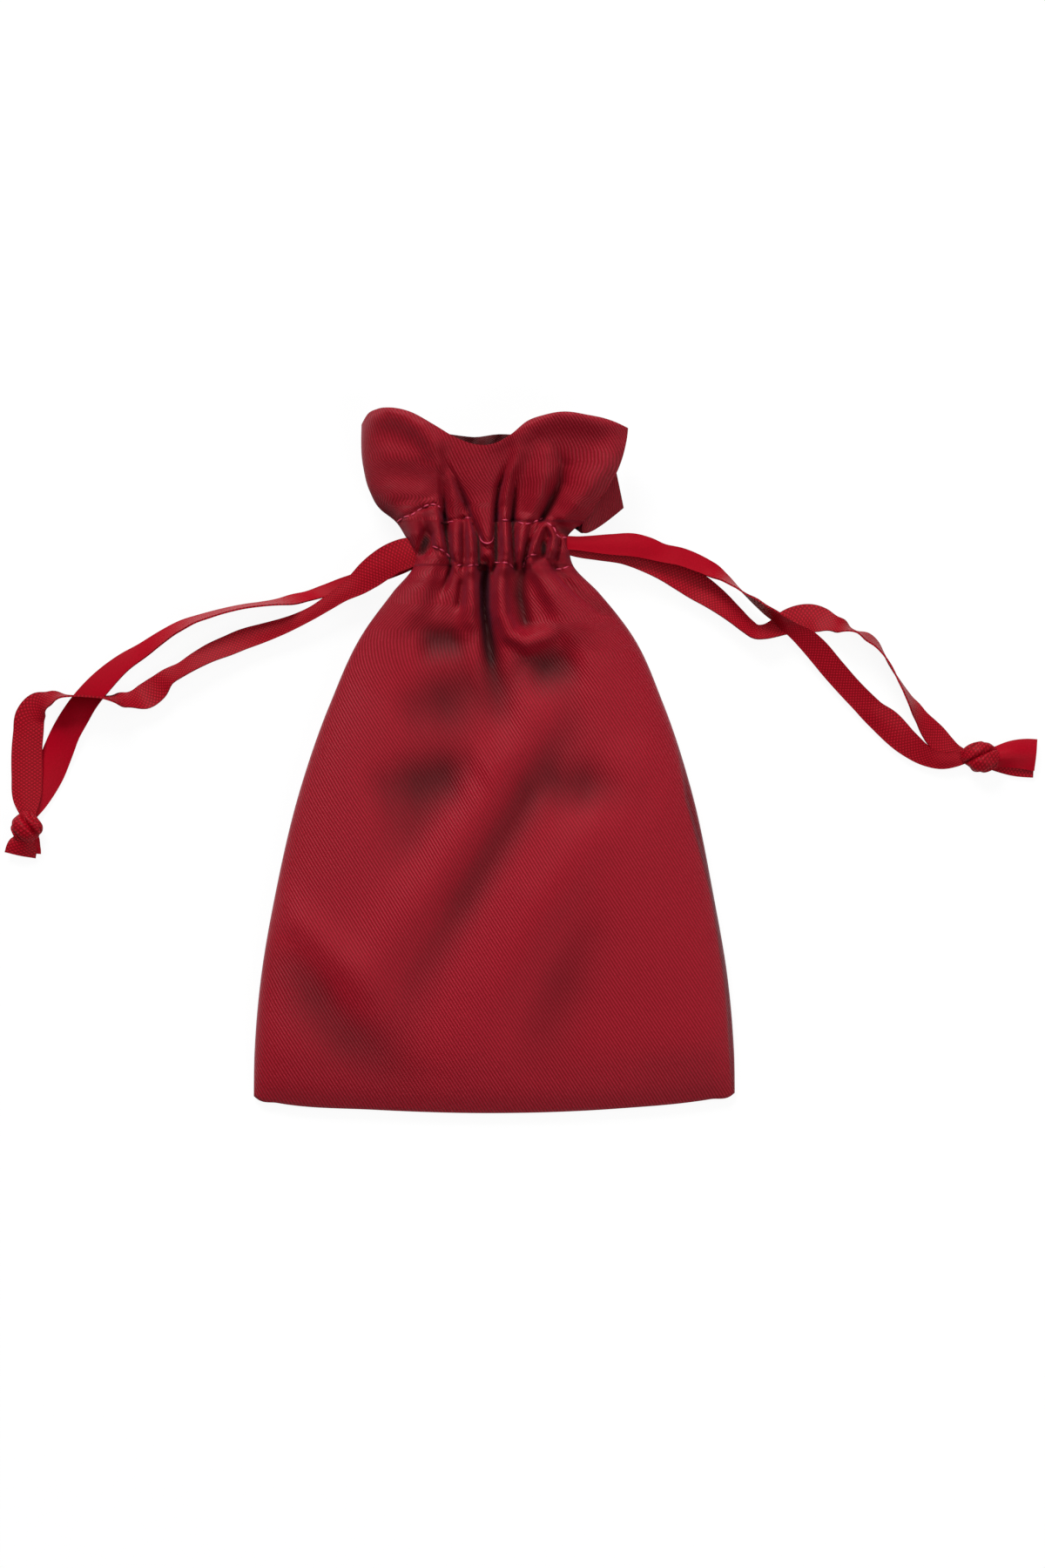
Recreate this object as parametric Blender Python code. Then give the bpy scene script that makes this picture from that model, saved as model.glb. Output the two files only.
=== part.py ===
"""A satin drawstring pouch, drawn shut and lying flat on its back.

One piece of satin is folded at the bottom and sewn up both sides. Its top is turned in, which makes the
header, and two rows of stitches below it make a casing. Two ribbons run all round inside the casing. One has
its ends knotted together outside the left side, the other outside the right side.

The origin is on the table, under the middle of the pouch. +X is to the right, +Y runs from the bottom fold to
the header, and +Z is up. All sizes are in millimetres until the meshes are made.
"""

import math

import bmesh
import bpy
import numpy as np

MM = 0.001

# Driving sizes of the pouch, in millimetres
POUCH_WIDTH = 100.0
BODY_LENGTH = 113.6
CASING_HEIGHT = 8.6
HEADER_HEIGHT = 23.4
HEADER_WIDTH = 55.1
NECK_WIDTH = 33.4
NECK_THICKNESS = 12.0
BODY_THICKNESS = 11.0
CLOTH = 0.3
SEAM_ALLOWANCE = 0.9
MOUTH_GAP = 2.0

# Driving sizes of the ribbons
RIBBON_WIDTH = 6.4
RIBBON_THICKNESS = 0.45
RIBBON_FOLDED_WIDTH = 2.4
RIBBON_CLEARANCE = 0.3
KNOT_LENGTH = 5.2
KNOT_WIDTH = 5.6
KNOT_THICKNESS = 3.8
LEFT_CUT_END_LENGTH = 4.2
RIGHT_CUT_END_LENGTH = 9.2

# The mesh of the pouch: columns across the front and the back, and rows along each zone
FRONT_COLUMNS = 42
BACK_COLUMNS = 14
HEADER_ROWS = 8
BODY_ROWS = 23

# Levels along the pouch. The whole length is centred on the origin.
PIECE_LENGTH = BODY_LENGTH + CASING_HEIGHT + HEADER_HEIGHT
BOTTOM_Y = -PIECE_LENGTH / 2
LOWER_STITCH_Y = BOTTOM_Y + BODY_LENGTH
UPPER_STITCH_Y = LOWER_STITCH_Y + CASING_HEIGHT
HEADER_TOP_Y = UPPER_STITCH_Y + HEADER_HEIGHT

# Levels through the neck, from the mouth gap in its middle out to the pleats
NECK_MIDDLE = NECK_THICKNESS / 2
LINING_HALF = MOUTH_GAP / 2 + CLOTH
RIBBON_HALF = LINING_HALF + RIBBON_CLEARANCE + RIBBON_THICKNESS / 2
PLEAT_FLOOR = RIBBON_HALF + RIBBON_THICKNESS / 2 + RIBBON_CLEARANCE + CLOTH


def smooth_curve(knots):
    """A function through hand-chosen points: the first number of each is where, the rest are values."""
    knots = np.array(knots, float)
    places = knots[:, 0]
    values = knots[:, 1:]
    slopes = np.gradient(values, places, axis=0)

    def curve(where):
        where = np.clip(np.asarray(where, float), places[0], places[-1])
        low = np.clip(np.searchsorted(places, where) - 1, 0, len(places) - 2)
        step = places[low + 1] - places[low]
        part = ((where - places[low]) / step)[..., None]
        step = step[..., None]
        rise = values[low + 1] - values[low]
        bend = part * (1 - part)
        easing = part * part * (3 - 2 * part)
        value = values[low] + rise * easing
        value = value + bend * step * (slopes[low] * (1 - part) - slopes[low + 1] * part)
        return value[..., 0] if value.shape[-1] == 1 else value

    return curve


# The form of the pouch is drawn once, on a flat drawing in which the body runs from -72.8 to 40.8, the casing
# to 49.4 and the header to 72.8. The driving sizes then set how long, wide and thick each zone really is.
DRAWN_BOTTOM, DRAWN_LOWER, DRAWN_UPPER, DRAWN_TOP = -72.8, 40.8, 49.4, 72.8
DRAWN_LEVELS = [DRAWN_BOTTOM, DRAWN_LOWER, DRAWN_UPPER, DRAWN_TOP]
REAL_LEVELS = [BOTTOM_Y, LOWER_STITCH_Y, UPPER_STITCH_Y, HEADER_TOP_Y]
DRAWN_WIDTHS = {"body": 100.0, "neck": 33.4, "header": 55.1}
DRAWN_THICKNESSES = {"body": 11.0, "neck": 12.0}

left_side = smooth_curve(
    [(-72.8, -49.9), (-60, -49.7), (-45, -48.4), (-28, -45.5), (-5, -40.0), (12, -34.0), (27, -26.9), (35, -21.0)]
    + [(40.8, -16.6), (44, -17.0), (46.6, -18.4), (49.8, -20.6), (52, -23.4), (56, -25.8), (61, -27.1), (73, -27.4)]
)
right_side = smooth_curve(
    [(-72.8, 49.9), (-60, 49.7), (-45, 48.4), (-28, 45.5), (-5, 40.6), (12, 35.0), (27, 28.0), (35, 21.6)]
    + [(40.8, 16.2), (43, 15.6), (46.4, 15.2), (50, 17.0), (54, 21.0), (60, 25.0), (66, 27.2), (73, 27.8)]
)


def real_y(level):
    """Where a level of the drawing comes on the real pouch."""
    return np.interp(level, DRAWN_LEVELS, REAL_LEVELS)


def drawn_y(real_level):
    """The level of the drawing that comes at this level of the real pouch."""
    return np.interp(real_level, REAL_LEVELS, DRAWN_LEVELS)


def real_x(drawn_x, level):
    """Where a point of the drawing comes across the real pouch."""
    body = POUCH_WIDTH / DRAWN_WIDTHS["body"]
    neck = NECK_WIDTH / DRAWN_WIDTHS["neck"]
    header = HEADER_WIDTH / DRAWN_WIDTHS["header"]
    return drawn_x * np.interp(level, DRAWN_LEVELS, [body, neck, neck, header])


# The folds that the gathers throw. Each runs through hand-chosen points of the drawing: x, y, half its width,
# and the height of its crest above the table. A crest that passes over another hides it, as in real cloth.
CASING_FOLDS = [
    [(-17.0, 53.5, 4.0, 9.6), (-15.8, 49.6, 4.4, 11.6), (-15.4, 46.6, 4.0, 11.4), (-15.6, 43.4, 2.6, 9.8)],
    [(-11.4, 52.0, 1.6, 10.4), (-11.2, 48.0, 2.1, 11.4), (-11.0, 45.4, 2.0, 11.0), (-10.4, 43.0, 1.6, 10.2)],
    [(-8.6, 56.6, 1.6, 10.0), (-8.7, 49.4, 2.0, 11.2), (-8.4, 44.0, 1.8, 11.2), (-7.4, 40.8, 1.6, 10.4)],
    [(-5.0, 51.5, 1.1, 10.6), (-4.8, 46.7, 1.5, 11.7), (-4.5, 42.2, 1.4, 11.5), (-4.5, 40.0, 1.2, 10.8)],
    [(-1.5, 46.4, 1.7, 10.2), (-1.5, 44.2, 1.5, 10.4), (-1.4, 41.2, 1.2, 10.0)],
    [(3.8, 61.0, 1.3, 10.6), (3.0, 55.0, 1.6, 11.2), (3.0, 49.4, 1.5, 11.8), (2.7, 45.0, 1.5, 11.8), (2.3, 41.2, 1.6, 11.5)],
    [(6.8, 51.0, 2.0, 11.2), (6.4, 47.6, 1.8, 11.5), (5.9, 44.0, 1.3, 11.2), (5.4, 40.8, 1.1, 10.6)],
    [(9.6, 50.6, 2.0, 11.2), (8.8, 46.0, 1.7, 11.5), (7.6, 42.6, 1.2, 10.8)],
    [(12.4, 49.6, 1.5, 11.2), (12.6, 45.6, 1.4, 11.6), (11.6, 42.4, 1.6, 10.9)],
    [(14.6, 47.6, 1.3, 9.8), (14.6, 42.6, 1.5, 9.6)],
]
HEADER_FOLDS = [
    [(-15.4, 51.6, 4.4, 10.4), (-17.6, 58.0, 8.2, 10.4), (-19.6, 65.0, 9.4, 10.6), (-20.6, 70.6, 9.2, 13.4), (-20.6, 73.0, 9.2, 14.2)],
    [(-1.5, 46.4, 1.6, 10.6), (-2.0, 51.2, 2.9, 10.9), (-3.0, 56.6, 4.7, 11.3), (-3.5, 62.0, 6.8, 11.9), (-4.0, 68.0, 8.6, 12.8)],
    [(15.4, 66.0, 3.4, 11.6), (11.4, 60.0, 4.0, 12.2), (8.8, 54.4, 3.5, 12.0), (7.0, 49.8, 2.2, 11.4)],
    [(25.0, 68.6, 3.0, 12.6), (23.4, 62.6, 3.2, 12.0), (19.2, 56.0, 3.3, 11.8), (14.8, 51.2, 2.8, 11.4), (12.8, 48.6, 1.8, 11.0)],
    [(6.0, 70.2, 4.6, 12.6), (13.0, 72.0, 5.0, 14.2), (20.0, 71.6, 5.0, 14.2), (27.0, 70.4, 4.0, 12.6)],
]
BODY_FOLDS = [
    [(-11.2, 45.2, 1.9, 11.2), (-12.8, 41.4, 3.8, 12.2), (-15.6, 37.6, 6.0, 12.3), (-20.0, 31.4, 8.6, 11.0)],
    [(-7.2, 41.0, 1.5, 10.6), (-7.4, 37.4, 2.0, 10.2), (-9.4, 33.2, 2.4, 9.6)],
    [(-4.6, 39.8, 2.1, 11.4), (-4.4, 35.4, 2.6, 11.8), (-4.8, 31.0, 2.5, 11.4), (-6.4, 27.2, 2.2, 10.2)],
    [(1.8, 40.4, 2.1, 11.8), (1.1, 33.4, 2.5, 12.0), (2.2, 27.6, 2.5, 12.0), (5.4, 24.6, 2.5, 12.0)]
    + [(9.6, 24.6, 2.5, 11.8), (13.8, 27.4, 3.4, 11.6), (17.4, 31.2, 4.6, 11.2)],
    [(8.4, 41.6, 1.8, 11.4), (11.6, 38.4, 4.6, 12.2), (16.6, 33.4, 6.4, 12.0), (22.6, 24.4, 8.6, 10.8)],
]

# Soft bumps and hollows of the slack cloth: x, y, half width, and how far it stands up or sinks.
BODY_WAVES = [
    [(-2.0, 39.6, 1.1, -3.6), (-2.2, 32.0, 0.9, -3.4), (-1.4, 26.0, 1.0, -2.4), (-0.4, 18.4, 1.5, -1.0), (1.0, 12.0, 2.4, -0.3)],
    [(-12.6, 28.6, 3.4, -1.0), (-8.6, 28.2, 3.0, -1.2)],
    [(-15.6, 16.0, 3.0, -0.7), (-10.0, 20.0, 3.0, -0.8)],
    [(5.0, 20.6, 3.2, -1.3), (11.6, 21.4, 3.4, -1.7), (16.0, 24.0, 3.2, -0.8)],
    [(14.0, 3.0, 4.6, 0.9), (4.6, -14.0, 5.0, 1.2), (-4.0, -34.0, 5.6, 1.0), (-9.0, -52.0, 7.0, 0.3)],
    [(-18.4, 2.0, 7.0, -0.5), (-10.6, -7.0, 6.0, -1.1), (-20.0, -16.0, 7.0, -0.5)],
    [(18.0, -2.0, 6.0, -0.8), (28.0, -9.0, 6.6, -0.9)],
    [(-3.0, -20.6, 4.0, -0.6), (-15.6, -38.4, 4.6, -0.9), (-18.0, -46.0, 4.6, -0.5)],
    [(-42.0, -32.0, 3.6, 0.7), (-29.0, -43.0, 3.6, 0.7), (-22.0, -52.0, 4.6, 0.3)],
    [(-38.0, -32.0, 4.0, -0.5), (-34.6, -47.0, 5.0, -0.9), (-18.0, -66.0, 5.0, -0.5)],
    [(8.0, -27.0, 5.6, -0.6), (10.0, -47.0, 6.4, -0.5)],
    [(-30.0, -28.0, 4.0, -0.5), (-26.0, -40.0, 3.6, -0.5)],
    [(36.0, -64.0, 5.0, -0.3), (48.0, -66.0, 5.0, -0.3)],
]


def nearest_on(points, x, y):
    """How far each place is from a line through the points, and the line's half width and height there."""
    nearest = np.full(np.shape(x), np.inf)
    half_width = np.ones(np.shape(x))
    height = np.zeros(np.shape(x))
    for start, end in zip(points[:-1], points[1:]):
        run_x = end[0] - start[0]
        run_y = end[1] - start[1]
        along = ((x - start[0]) * run_x + (y - start[1]) * run_y) / (run_x**2 + run_y**2)
        along = np.clip(along, 0, 1)
        gap = np.hypot(x - start[0] - along * run_x, y - start[1] - along * run_y)
        closer = gap < nearest
        nearest = np.where(closer, gap, nearest)
        half_width = np.where(closer, start[2] + along * (end[2] - start[2]), half_width)
        height = np.where(closer, start[3] + along * (end[3] - start[3]), height)
    return nearest, half_width, height


def rolled_fold(points, depth, x, y):
    """A round fold: its crest, falling away to both sides, steeply at the edges."""
    gap, half_width, crest = nearest_on(points, x, y)
    share = gap / half_width
    drop = np.where(share < 0.96, 1 - np.sqrt(np.clip(1 - share**2, 0, 1)), 0.72 + 3.4 * (share - 0.96))
    return crest - depth * drop


def soft_wave(points, x, y):
    gap, half_width, height = nearest_on(points, x, y)
    return height * np.exp(-((gap / half_width) ** 2))


def higher_of(a, b, blend):
    """The higher of two surfaces, with the meeting line rounded by the blend."""
    middle = (a + b) / 2
    half = np.sqrt(((a - b) / 2) ** 2 + blend**2)
    return middle + half


side_height = smooth_curve([(-72.8, 0.9), (-66, 1.2), (-40, 1.9), (0, 3.0), (25, 4.6), (40.8, 6.0), (49.4, 6.0), (60, 6.4), (72.8, 6.6)])
crown_height = smooth_curve([(-72.8, 1.7), (-69.0, 3.0), (-60, 4.6), (-40, 6.6), (-10, 8.6), (15, 9.6), (30, 9.5), (40, 9.0), (49.4, 9.0), (56, 9.2), (73, 9.6)])
crown_power = smooth_curve([(-72.8, 16), (-40, 8), (0, 5), (25, 4), (41, 7), (49.4, 7), (60, 5), (73, 5)])
gathered = smooth_curve([(16, 0.0), (24, 0.25), (32, 0.7), (40.8, 1.0), (49.4, 1.0), (60, 0.8), (72.8, 0.45)])


def crown(share, power):
    """From 0 at a side seam to 1 over the middle."""
    return np.sqrt(np.clip(1 - np.abs(2 * share - 1) ** power, 0, 1))


def front_height(share, x, y):
    """The height of the front's outside above the table."""
    over = crown(share, crown_power(y))
    height = crown_height(y)
    for points in BODY_FOLDS:
        height = higher_of(height, rolled_fold(points, 3.2, x, y), 0.18)
    for points in CASING_FOLDS:
        height = higher_of(height, rolled_fold(points, 3.0, x, y), 0.12)
    for points in HEADER_FOLDS:
        height = higher_of(height, rolled_fold(points, 2.6, x, y), 0.14)
    for points in BODY_WAVES:
        height = height + soft_wave(points, x, y)
    in_casing = np.clip((y - DRAWN_LOWER + 1.0) / 1.0, 0, 1) * np.clip((DRAWN_UPPER + 1.0 - y) / 1.0, 0, 1)
    floor = 2.2 + in_casing * (NECK_MIDDLE + PLEAT_FLOOR - 2.2)
    height = np.maximum(height, np.minimum(floor, crown_height(y) + 9 * in_casing))
    side = side_height(y)
    return side + (height - side) * over


def back_height(share, x, y):
    """The height of the back's outside: flat on the table, with regular gathers near the neck."""
    over = crown(share, crown_power(y))
    pleats = 1.4 * (1 + np.cos(2 * math.pi * (share - 0.5) * 9))
    return (1 - over) * side_height(y) + over * gathered(y) * pleats * np.clip((1 - np.abs(2 * share - 1)) / 0.12, 0, 1)


# Rows and columns of the skin
def columns(count):
    """Shares of the width, closer together near both sides."""
    even = np.linspace(0, 1, count + 1)
    return 0.55 * even + 0.45 * (0.5 - 0.5 * np.cos(math.pi * even))


front_lip = smooth_curve(
    [(0.0, 69.6), (0.02, 71.4), (0.06, 72.6), (0.11, 72.8), (0.18, 72.0), (0.27, 69.4), (0.36, 66.6), (0.43, 65.3)]
    + [(0.50, 65.4), (0.56, 67.2), (0.62, 70.0), (0.68, 71.2), (0.76, 71.9), (0.84, 71.3), (0.92, 70.4), (0.96, 69.6), (1.0, 68.6)]
)
back_lip = smooth_curve([(0.0, 69.6), (0.12, 69.0), (0.3, 68.2), (0.42, 67.3), (0.55, 67.9), (0.7, 66.2), (0.85, 60.5), (1.0, 52.5)])
bottom_fold = smooth_curve([(0.0, -68.6), (0.012, -69.8), (0.05, -70.6), (0.25, -72.1), (0.5, -72.8), (0.75, -71.9), (0.95, -69.9), (0.988, -69.1), (1.0, -67.9)])

# The right side seam of the header lies lower than the front's right edge, which folds over it.
FOLD_OVER = 0.93
RIGHT_SEAM_TOP = (26.8, 52.5, 3.4)


def header_section(rise):
    """One closed section of the header, left to right over the front and back again under it."""
    shares = columns(FRONT_COLUMNS)
    fold_over = 1 - (1 - FOLD_OVER) * min(1, rise / 0.25)
    within = np.minimum(shares / fold_over, 1)
    y = DRAWN_UPPER + rise * (front_lip(within) - DRAWN_UPPER)
    x = left_side(y) + within * (right_side(y) - left_side(y))
    # Right of the fold-over the cloth turns under, so the front keeps its height up to that edge.
    lifted = np.where(within > 0.5, 0.5 + (within - 0.5) * (1 - 0.10 * rise), within)
    z = front_height(lifted, x, y)
    seam = np.array([float(right_side(DRAWN_UPPER)), DRAWN_UPPER, float(side_height(DRAWN_UPPER))])
    seam = seam + rise * (np.array(RIGHT_SEAM_TOP) - seam)
    turn = np.clip((shares - fold_over) / max(1 - fold_over, 1e-9), 0, 1)
    edge = np.array([x[-1], y[-1], z[-1]])
    bow = np.sin(math.pi * turn)
    x = np.where(turn > 0, edge[0] + turn * (seam[0] - edge[0]) - 1.6 * rise * bow, x)
    y = np.where(turn > 0, edge[1] + turn * (seam[1] - edge[1]), y)
    z = np.where(turn > 0, edge[2] + turn * (seam[2] - edge[2]), z)
    front = np.stack([x, y, z], axis=1)
    share = columns(BACK_COLUMNS)[::-1][1:-1]
    left = front[0]
    x = left[0] + share * (seam[0] - left[0])
    y = DRAWN_UPPER + rise * (back_lip(share) - DRAWN_UPPER)
    z = back_height(share, x, np.full(len(share), DRAWN_UPPER + rise * 20))
    z = z + 0.4 * rise
    back = np.stack([x, y, z], axis=1)
    return np.concatenate([front, back])


def flat_section(level):
    """One closed section of the casing, at one level of the drawing."""
    shares = columns(FRONT_COLUMNS)
    y = np.full(len(shares), float(level))
    x = left_side(y) + shares * (right_side(y) - left_side(y))
    front = np.stack([x, y, front_height(shares, x, y)], axis=1)
    share = columns(BACK_COLUMNS)[::-1][1:-1]
    y = np.full(len(share), float(level))
    x = left_side(y) + share * (right_side(y) - left_side(y))
    back = np.stack([x, y, back_height(share, x, y)], axis=1)
    return np.concatenate([front, back])


def body_section(fall):
    """One closed section of the body: fall is 0 at the lower stitches and 1 at the bottom fold."""
    shares = columns(FRONT_COLUMNS)
    y = DRAWN_LOWER + fall * (bottom_fold(shares) - DRAWN_LOWER)
    x = left_side(y) + shares * (right_side(y) - left_side(y))
    level = DRAWN_LOWER + fall * (DRAWN_BOTTOM - DRAWN_LOWER)
    z = front_height(shares, x, np.full(len(shares), level))
    front = np.stack([x, y, z], axis=1)
    share = columns(BACK_COLUMNS)[::-1][1:-1]
    y = DRAWN_LOWER + fall * (bottom_fold(share) - DRAWN_LOWER)
    x = left_side(y) + share * (right_side(y) - left_side(y))
    z = back_height(share, x, np.full(len(share), level))
    back = np.stack([x, y, z], axis=1)
    return np.concatenate([front, back])


def real_place(section):
    """The section of the drawing, moved to the real sizes of the pouch."""
    x, y, z = section.T
    in_neck = np.interp(y, [0, DRAWN_LOWER], [0, 1])
    body = BODY_THICKNESS / DRAWN_THICKNESSES["body"]
    neck = NECK_THICKNESS / DRAWN_THICKNESSES["neck"]
    return np.stack([real_x(x, y), real_y(y), z * (body * (1 - in_neck) + neck * in_neck)], axis=1)


def pulled_in(section, side, wall):
    """The inner side of a section: in from both seams by the seam allowance, and in by one wall elsewhere."""
    inner = section.copy()
    shares = columns(FRONT_COLUMNS)
    back_shares = columns(BACK_COLUMNS)[::-1][1:-1]
    every = np.concatenate([shares, back_shares])
    near = 0.12
    inner[:, 0] += side * np.clip(1 - every / near, 0, 1) ** 2
    inner[:, 0] -= side * np.clip(1 - (1 - every) / near, 0, 1) ** 2
    count = FRONT_COLUMNS + 1
    front, back = section[:count], section[count:]
    # The height of the other side of the pouch, above or below each point
    under = np.interp(shares, np.r_[0, back_shares[::-1], 1], np.r_[front[0, 2], back[::-1, 2], front[-1, 2]])
    above = np.interp(back_shares, shares, front[:, 2])
    middle_front = (front[:, 2] + under) / 2
    middle_back = (back[:, 2] + above) / 2
    inner[:count, 2] = np.maximum(front[:, 2] - wall, middle_front + 0.1)
    inner[0, 2] = front[0, 2]
    inner[count - 1, 2] = front[-1, 2]
    inner[count:, 2] = np.minimum(back[:, 2] + wall, middle_back - 0.1)
    return inner


def lining_section(level, half_height, inset):
    """One section of the lining in the casing, a flat smooth loop round the mouth gap."""
    level_y = float(real_y(level))
    left, right = lining_sides(inset)
    shares = np.concatenate([columns(FRONT_COLUMNS), columns(BACK_COLUMNS)[::-1][1:-1]])
    upper = np.concatenate([np.ones(FRONT_COLUMNS + 1), -np.ones(BACK_COLUMNS - 1)])
    round_off = (1 - np.abs(2 * shares - 1) ** 6) ** 0.5
    x = left + shares * (right - left)
    z = NECK_MIDDLE + upper * half_height * round_off
    return np.stack([x, np.full(len(x), level_y), z], axis=1)


def lining_sides(inset):
    """Where the lining's sides are: far enough in for the ribbons to pass between them and the side seams."""
    room = CLOTH + RIBBON_CLEARANCE + RIBBON_THICKNESS + RIBBON_CLEARANCE + 0.6
    levels = np.linspace(DRAWN_LOWER, DRAWN_UPPER, 9)
    left = real_x(left_side(levels), levels).max() + room
    right = real_x(right_side(levels), levels).min() - room
    return left + inset, right - inset


def skin_faces(first, rows, ring, closed_hole=None):
    """Quads of a skin of rows round a ring, leaving out the quads of a hole."""
    faces = []
    for row in range(rows - 1):
        for column in range(ring):
            if closed_hole and closed_hole(row, column):
                continue
            beside = (column + 1) % ring
            a = first + row * ring + column
            b = first + row * ring + beside
            faces.append((a, a + ring, b + ring, b))
    return faces


def zipped(front, back):
    """Triangles between the front and back edge of an open end; both run from one seam to the other."""
    faces = []
    i = 0
    j = 0
    while i < len(front) - 1 or j < len(back) - 1:
        front_next = (i + 1) / (len(front) - 1)
        back_next = (j + 1) / (len(back) - 1)
        if j == len(back) - 1 or (i < len(front) - 1 and front_next <= back_next):
            corners = (front[i], front[i + 1], back[j])
            i += 1
        else:
            corners = (front[i], back[j + 1], back[j])
            j += 1
        if len(set(corners)) == 3:
            faces.append(corners)
    return faces


def solid_from(name, points, faces, material):
    """A closed mesh object from points in millimetres."""
    mesh = bpy.data.meshes.new(name)
    mesh.from_pydata([tuple(float(v) * MM for v in point) for point in points], [], faces)
    shape = bmesh.new()
    shape.from_mesh(mesh)
    bmesh.ops.recalc_face_normals(shape, faces=shape.faces)
    if shape.calc_volume(signed=True) < 0:
        bmesh.ops.reverse_faces(shape, faces=shape.faces)
    shape.to_mesh(mesh)
    shape.free()
    mesh.shade_smooth()
    mesh.set_sharp_from_angle(angle=math.radians(50))
    mesh.materials.append(material)
    piece = bpy.data.objects.new(name, mesh)
    bpy.context.scene.collection.objects.link(piece)
    return piece


def make_pouch(material):
    """The satin: an outer and an inner skin joined round the lip, and a casing between them with two slits."""
    ring = FRONT_COLUMNS + BACK_COLUMNS
    header = [header_section(rise) for rise in np.linspace(1, 0, HEADER_ROWS) ** 1.15]
    casing_levels = np.linspace(DRAWN_UPPER, DRAWN_LOWER, 7)[1:-1]
    casing_levels[0] = DRAWN_UPPER - 0.5
    casing_levels[-1] = DRAWN_LOWER + 0.5
    casing = [flat_section(level) for level in casing_levels]
    falls = np.linspace(0, 1, BODY_ROWS)
    falls = 0.45 * falls**1.9 + 0.55 * (1 - (1 - falls) ** 1.15)
    body = [body_section(fall) for fall in falls]
    outer = [real_place(section) for section in header + casing + body]

    double = 2 * CLOTH
    inner = [pulled_in(section, double, double) for section in outer[: len(header)]]
    first_casing = len(header)
    first_body = first_casing + len(casing)
    for level in casing_levels:
        inner.append(lining_section(level, MOUTH_GAP / 2, CLOTH))
    for fall, section in zip(falls, outer[first_body:]):
        lining = pulled_in(section, SEAM_ALLOWANCE, CLOTH)
        lining[:, 1] += 2 * CLOTH * max(0, (fall - 0.9) / 0.1) ** 2
        inner.append(lining)
    channel_outer = [pulled_in(section, CLOTH, CLOTH) for section in outer[first_casing:first_body]]
    channel_inner = [lining_section(level, LINING_HALF, 0.0) for level in casing_levels]

    rows = len(outer)
    points = np.concatenate(outer + inner + channel_outer + channel_inner)
    inner_start = rows * ring
    channel_start = 2 * inner_start
    lining_start = channel_start + len(casing) * ring

    # The slits are in the side seams, one column each side of the seam. The left ribbon runs in the lower half
    # of the casing and the right ribbon in the upper half, and each slit lies across its ribbon.
    seam_columns = {0: (ring - 1, 0), 1: (FRONT_COLUMNS - 1, FRONT_COLUMNS)}
    slit_rows = {0: (1, 2, 3), 1: (0, 1, 2)}

    def in_slit(row, column):
        for side in (0, 1):
            if column in seam_columns[side] and row in slit_rows[side]:
                return True
        return False

    faces = skin_faces(0, rows, ring, lambda row, column: in_slit(row - first_casing, column))
    faces += [face[::-1] for face in skin_faces(inner_start, rows, ring)]
    faces += [face[::-1] for face in skin_faces(channel_start, len(casing), ring, in_slit)]
    faces += skin_faces(lining_start, len(casing), ring)
    for column in range(ring):
        beside = (column + 1) % ring
        faces.append((column, beside, inner_start + beside, inner_start + column))
        faces.append((channel_start + column, channel_start + beside, lining_start + beside, lining_start + column))
        low = (len(casing) - 1) * ring
        faces.append(
            (lining_start + low + column, lining_start + low + beside, channel_start + low + beside, channel_start + low + column)
        )
    for side in (0, 1):
        top = slit_rows[side][0]
        end = slit_rows[side][-1] + 1
        before, at = seam_columns[side]
        after = (at + 1) % ring
        loop = [(row, before) for row in range(top, end + 1)]
        loop += [(end, at)]
        loop += [(row, after) for row in range(end, top - 1, -1)]
        loop += [(top, at)]
        for (row, column), (next_row, next_column) in zip(loop, loop[1:] + loop[:1]):
            outside = (first_casing + row) * ring + column
            outside_next = (first_casing + next_row) * ring + next_column
            inside = channel_start + row * ring + column
            inside_next = channel_start + next_row * ring + next_column
            faces.append((outside, outside_next, inside_next, inside))
    for start, flip in ((0, False), (inner_start, True)):
        last = start + (rows - 1) * ring
        front = [last + column for column in range(FRONT_COLUMNS + 1)]
        back = [last] + [last + column for column in range(ring - 1, FRONT_COLUMNS, -1)] + [last + FRONT_COLUMNS]
        ends = zipped(front, back)
        faces += [corners[::-1] for corners in ends] if flip else ends
    return solid_from("pouch", points, faces, material)



# How far apart the stations of a ribbon's tail are
STATION_SPACING = 1.7


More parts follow.
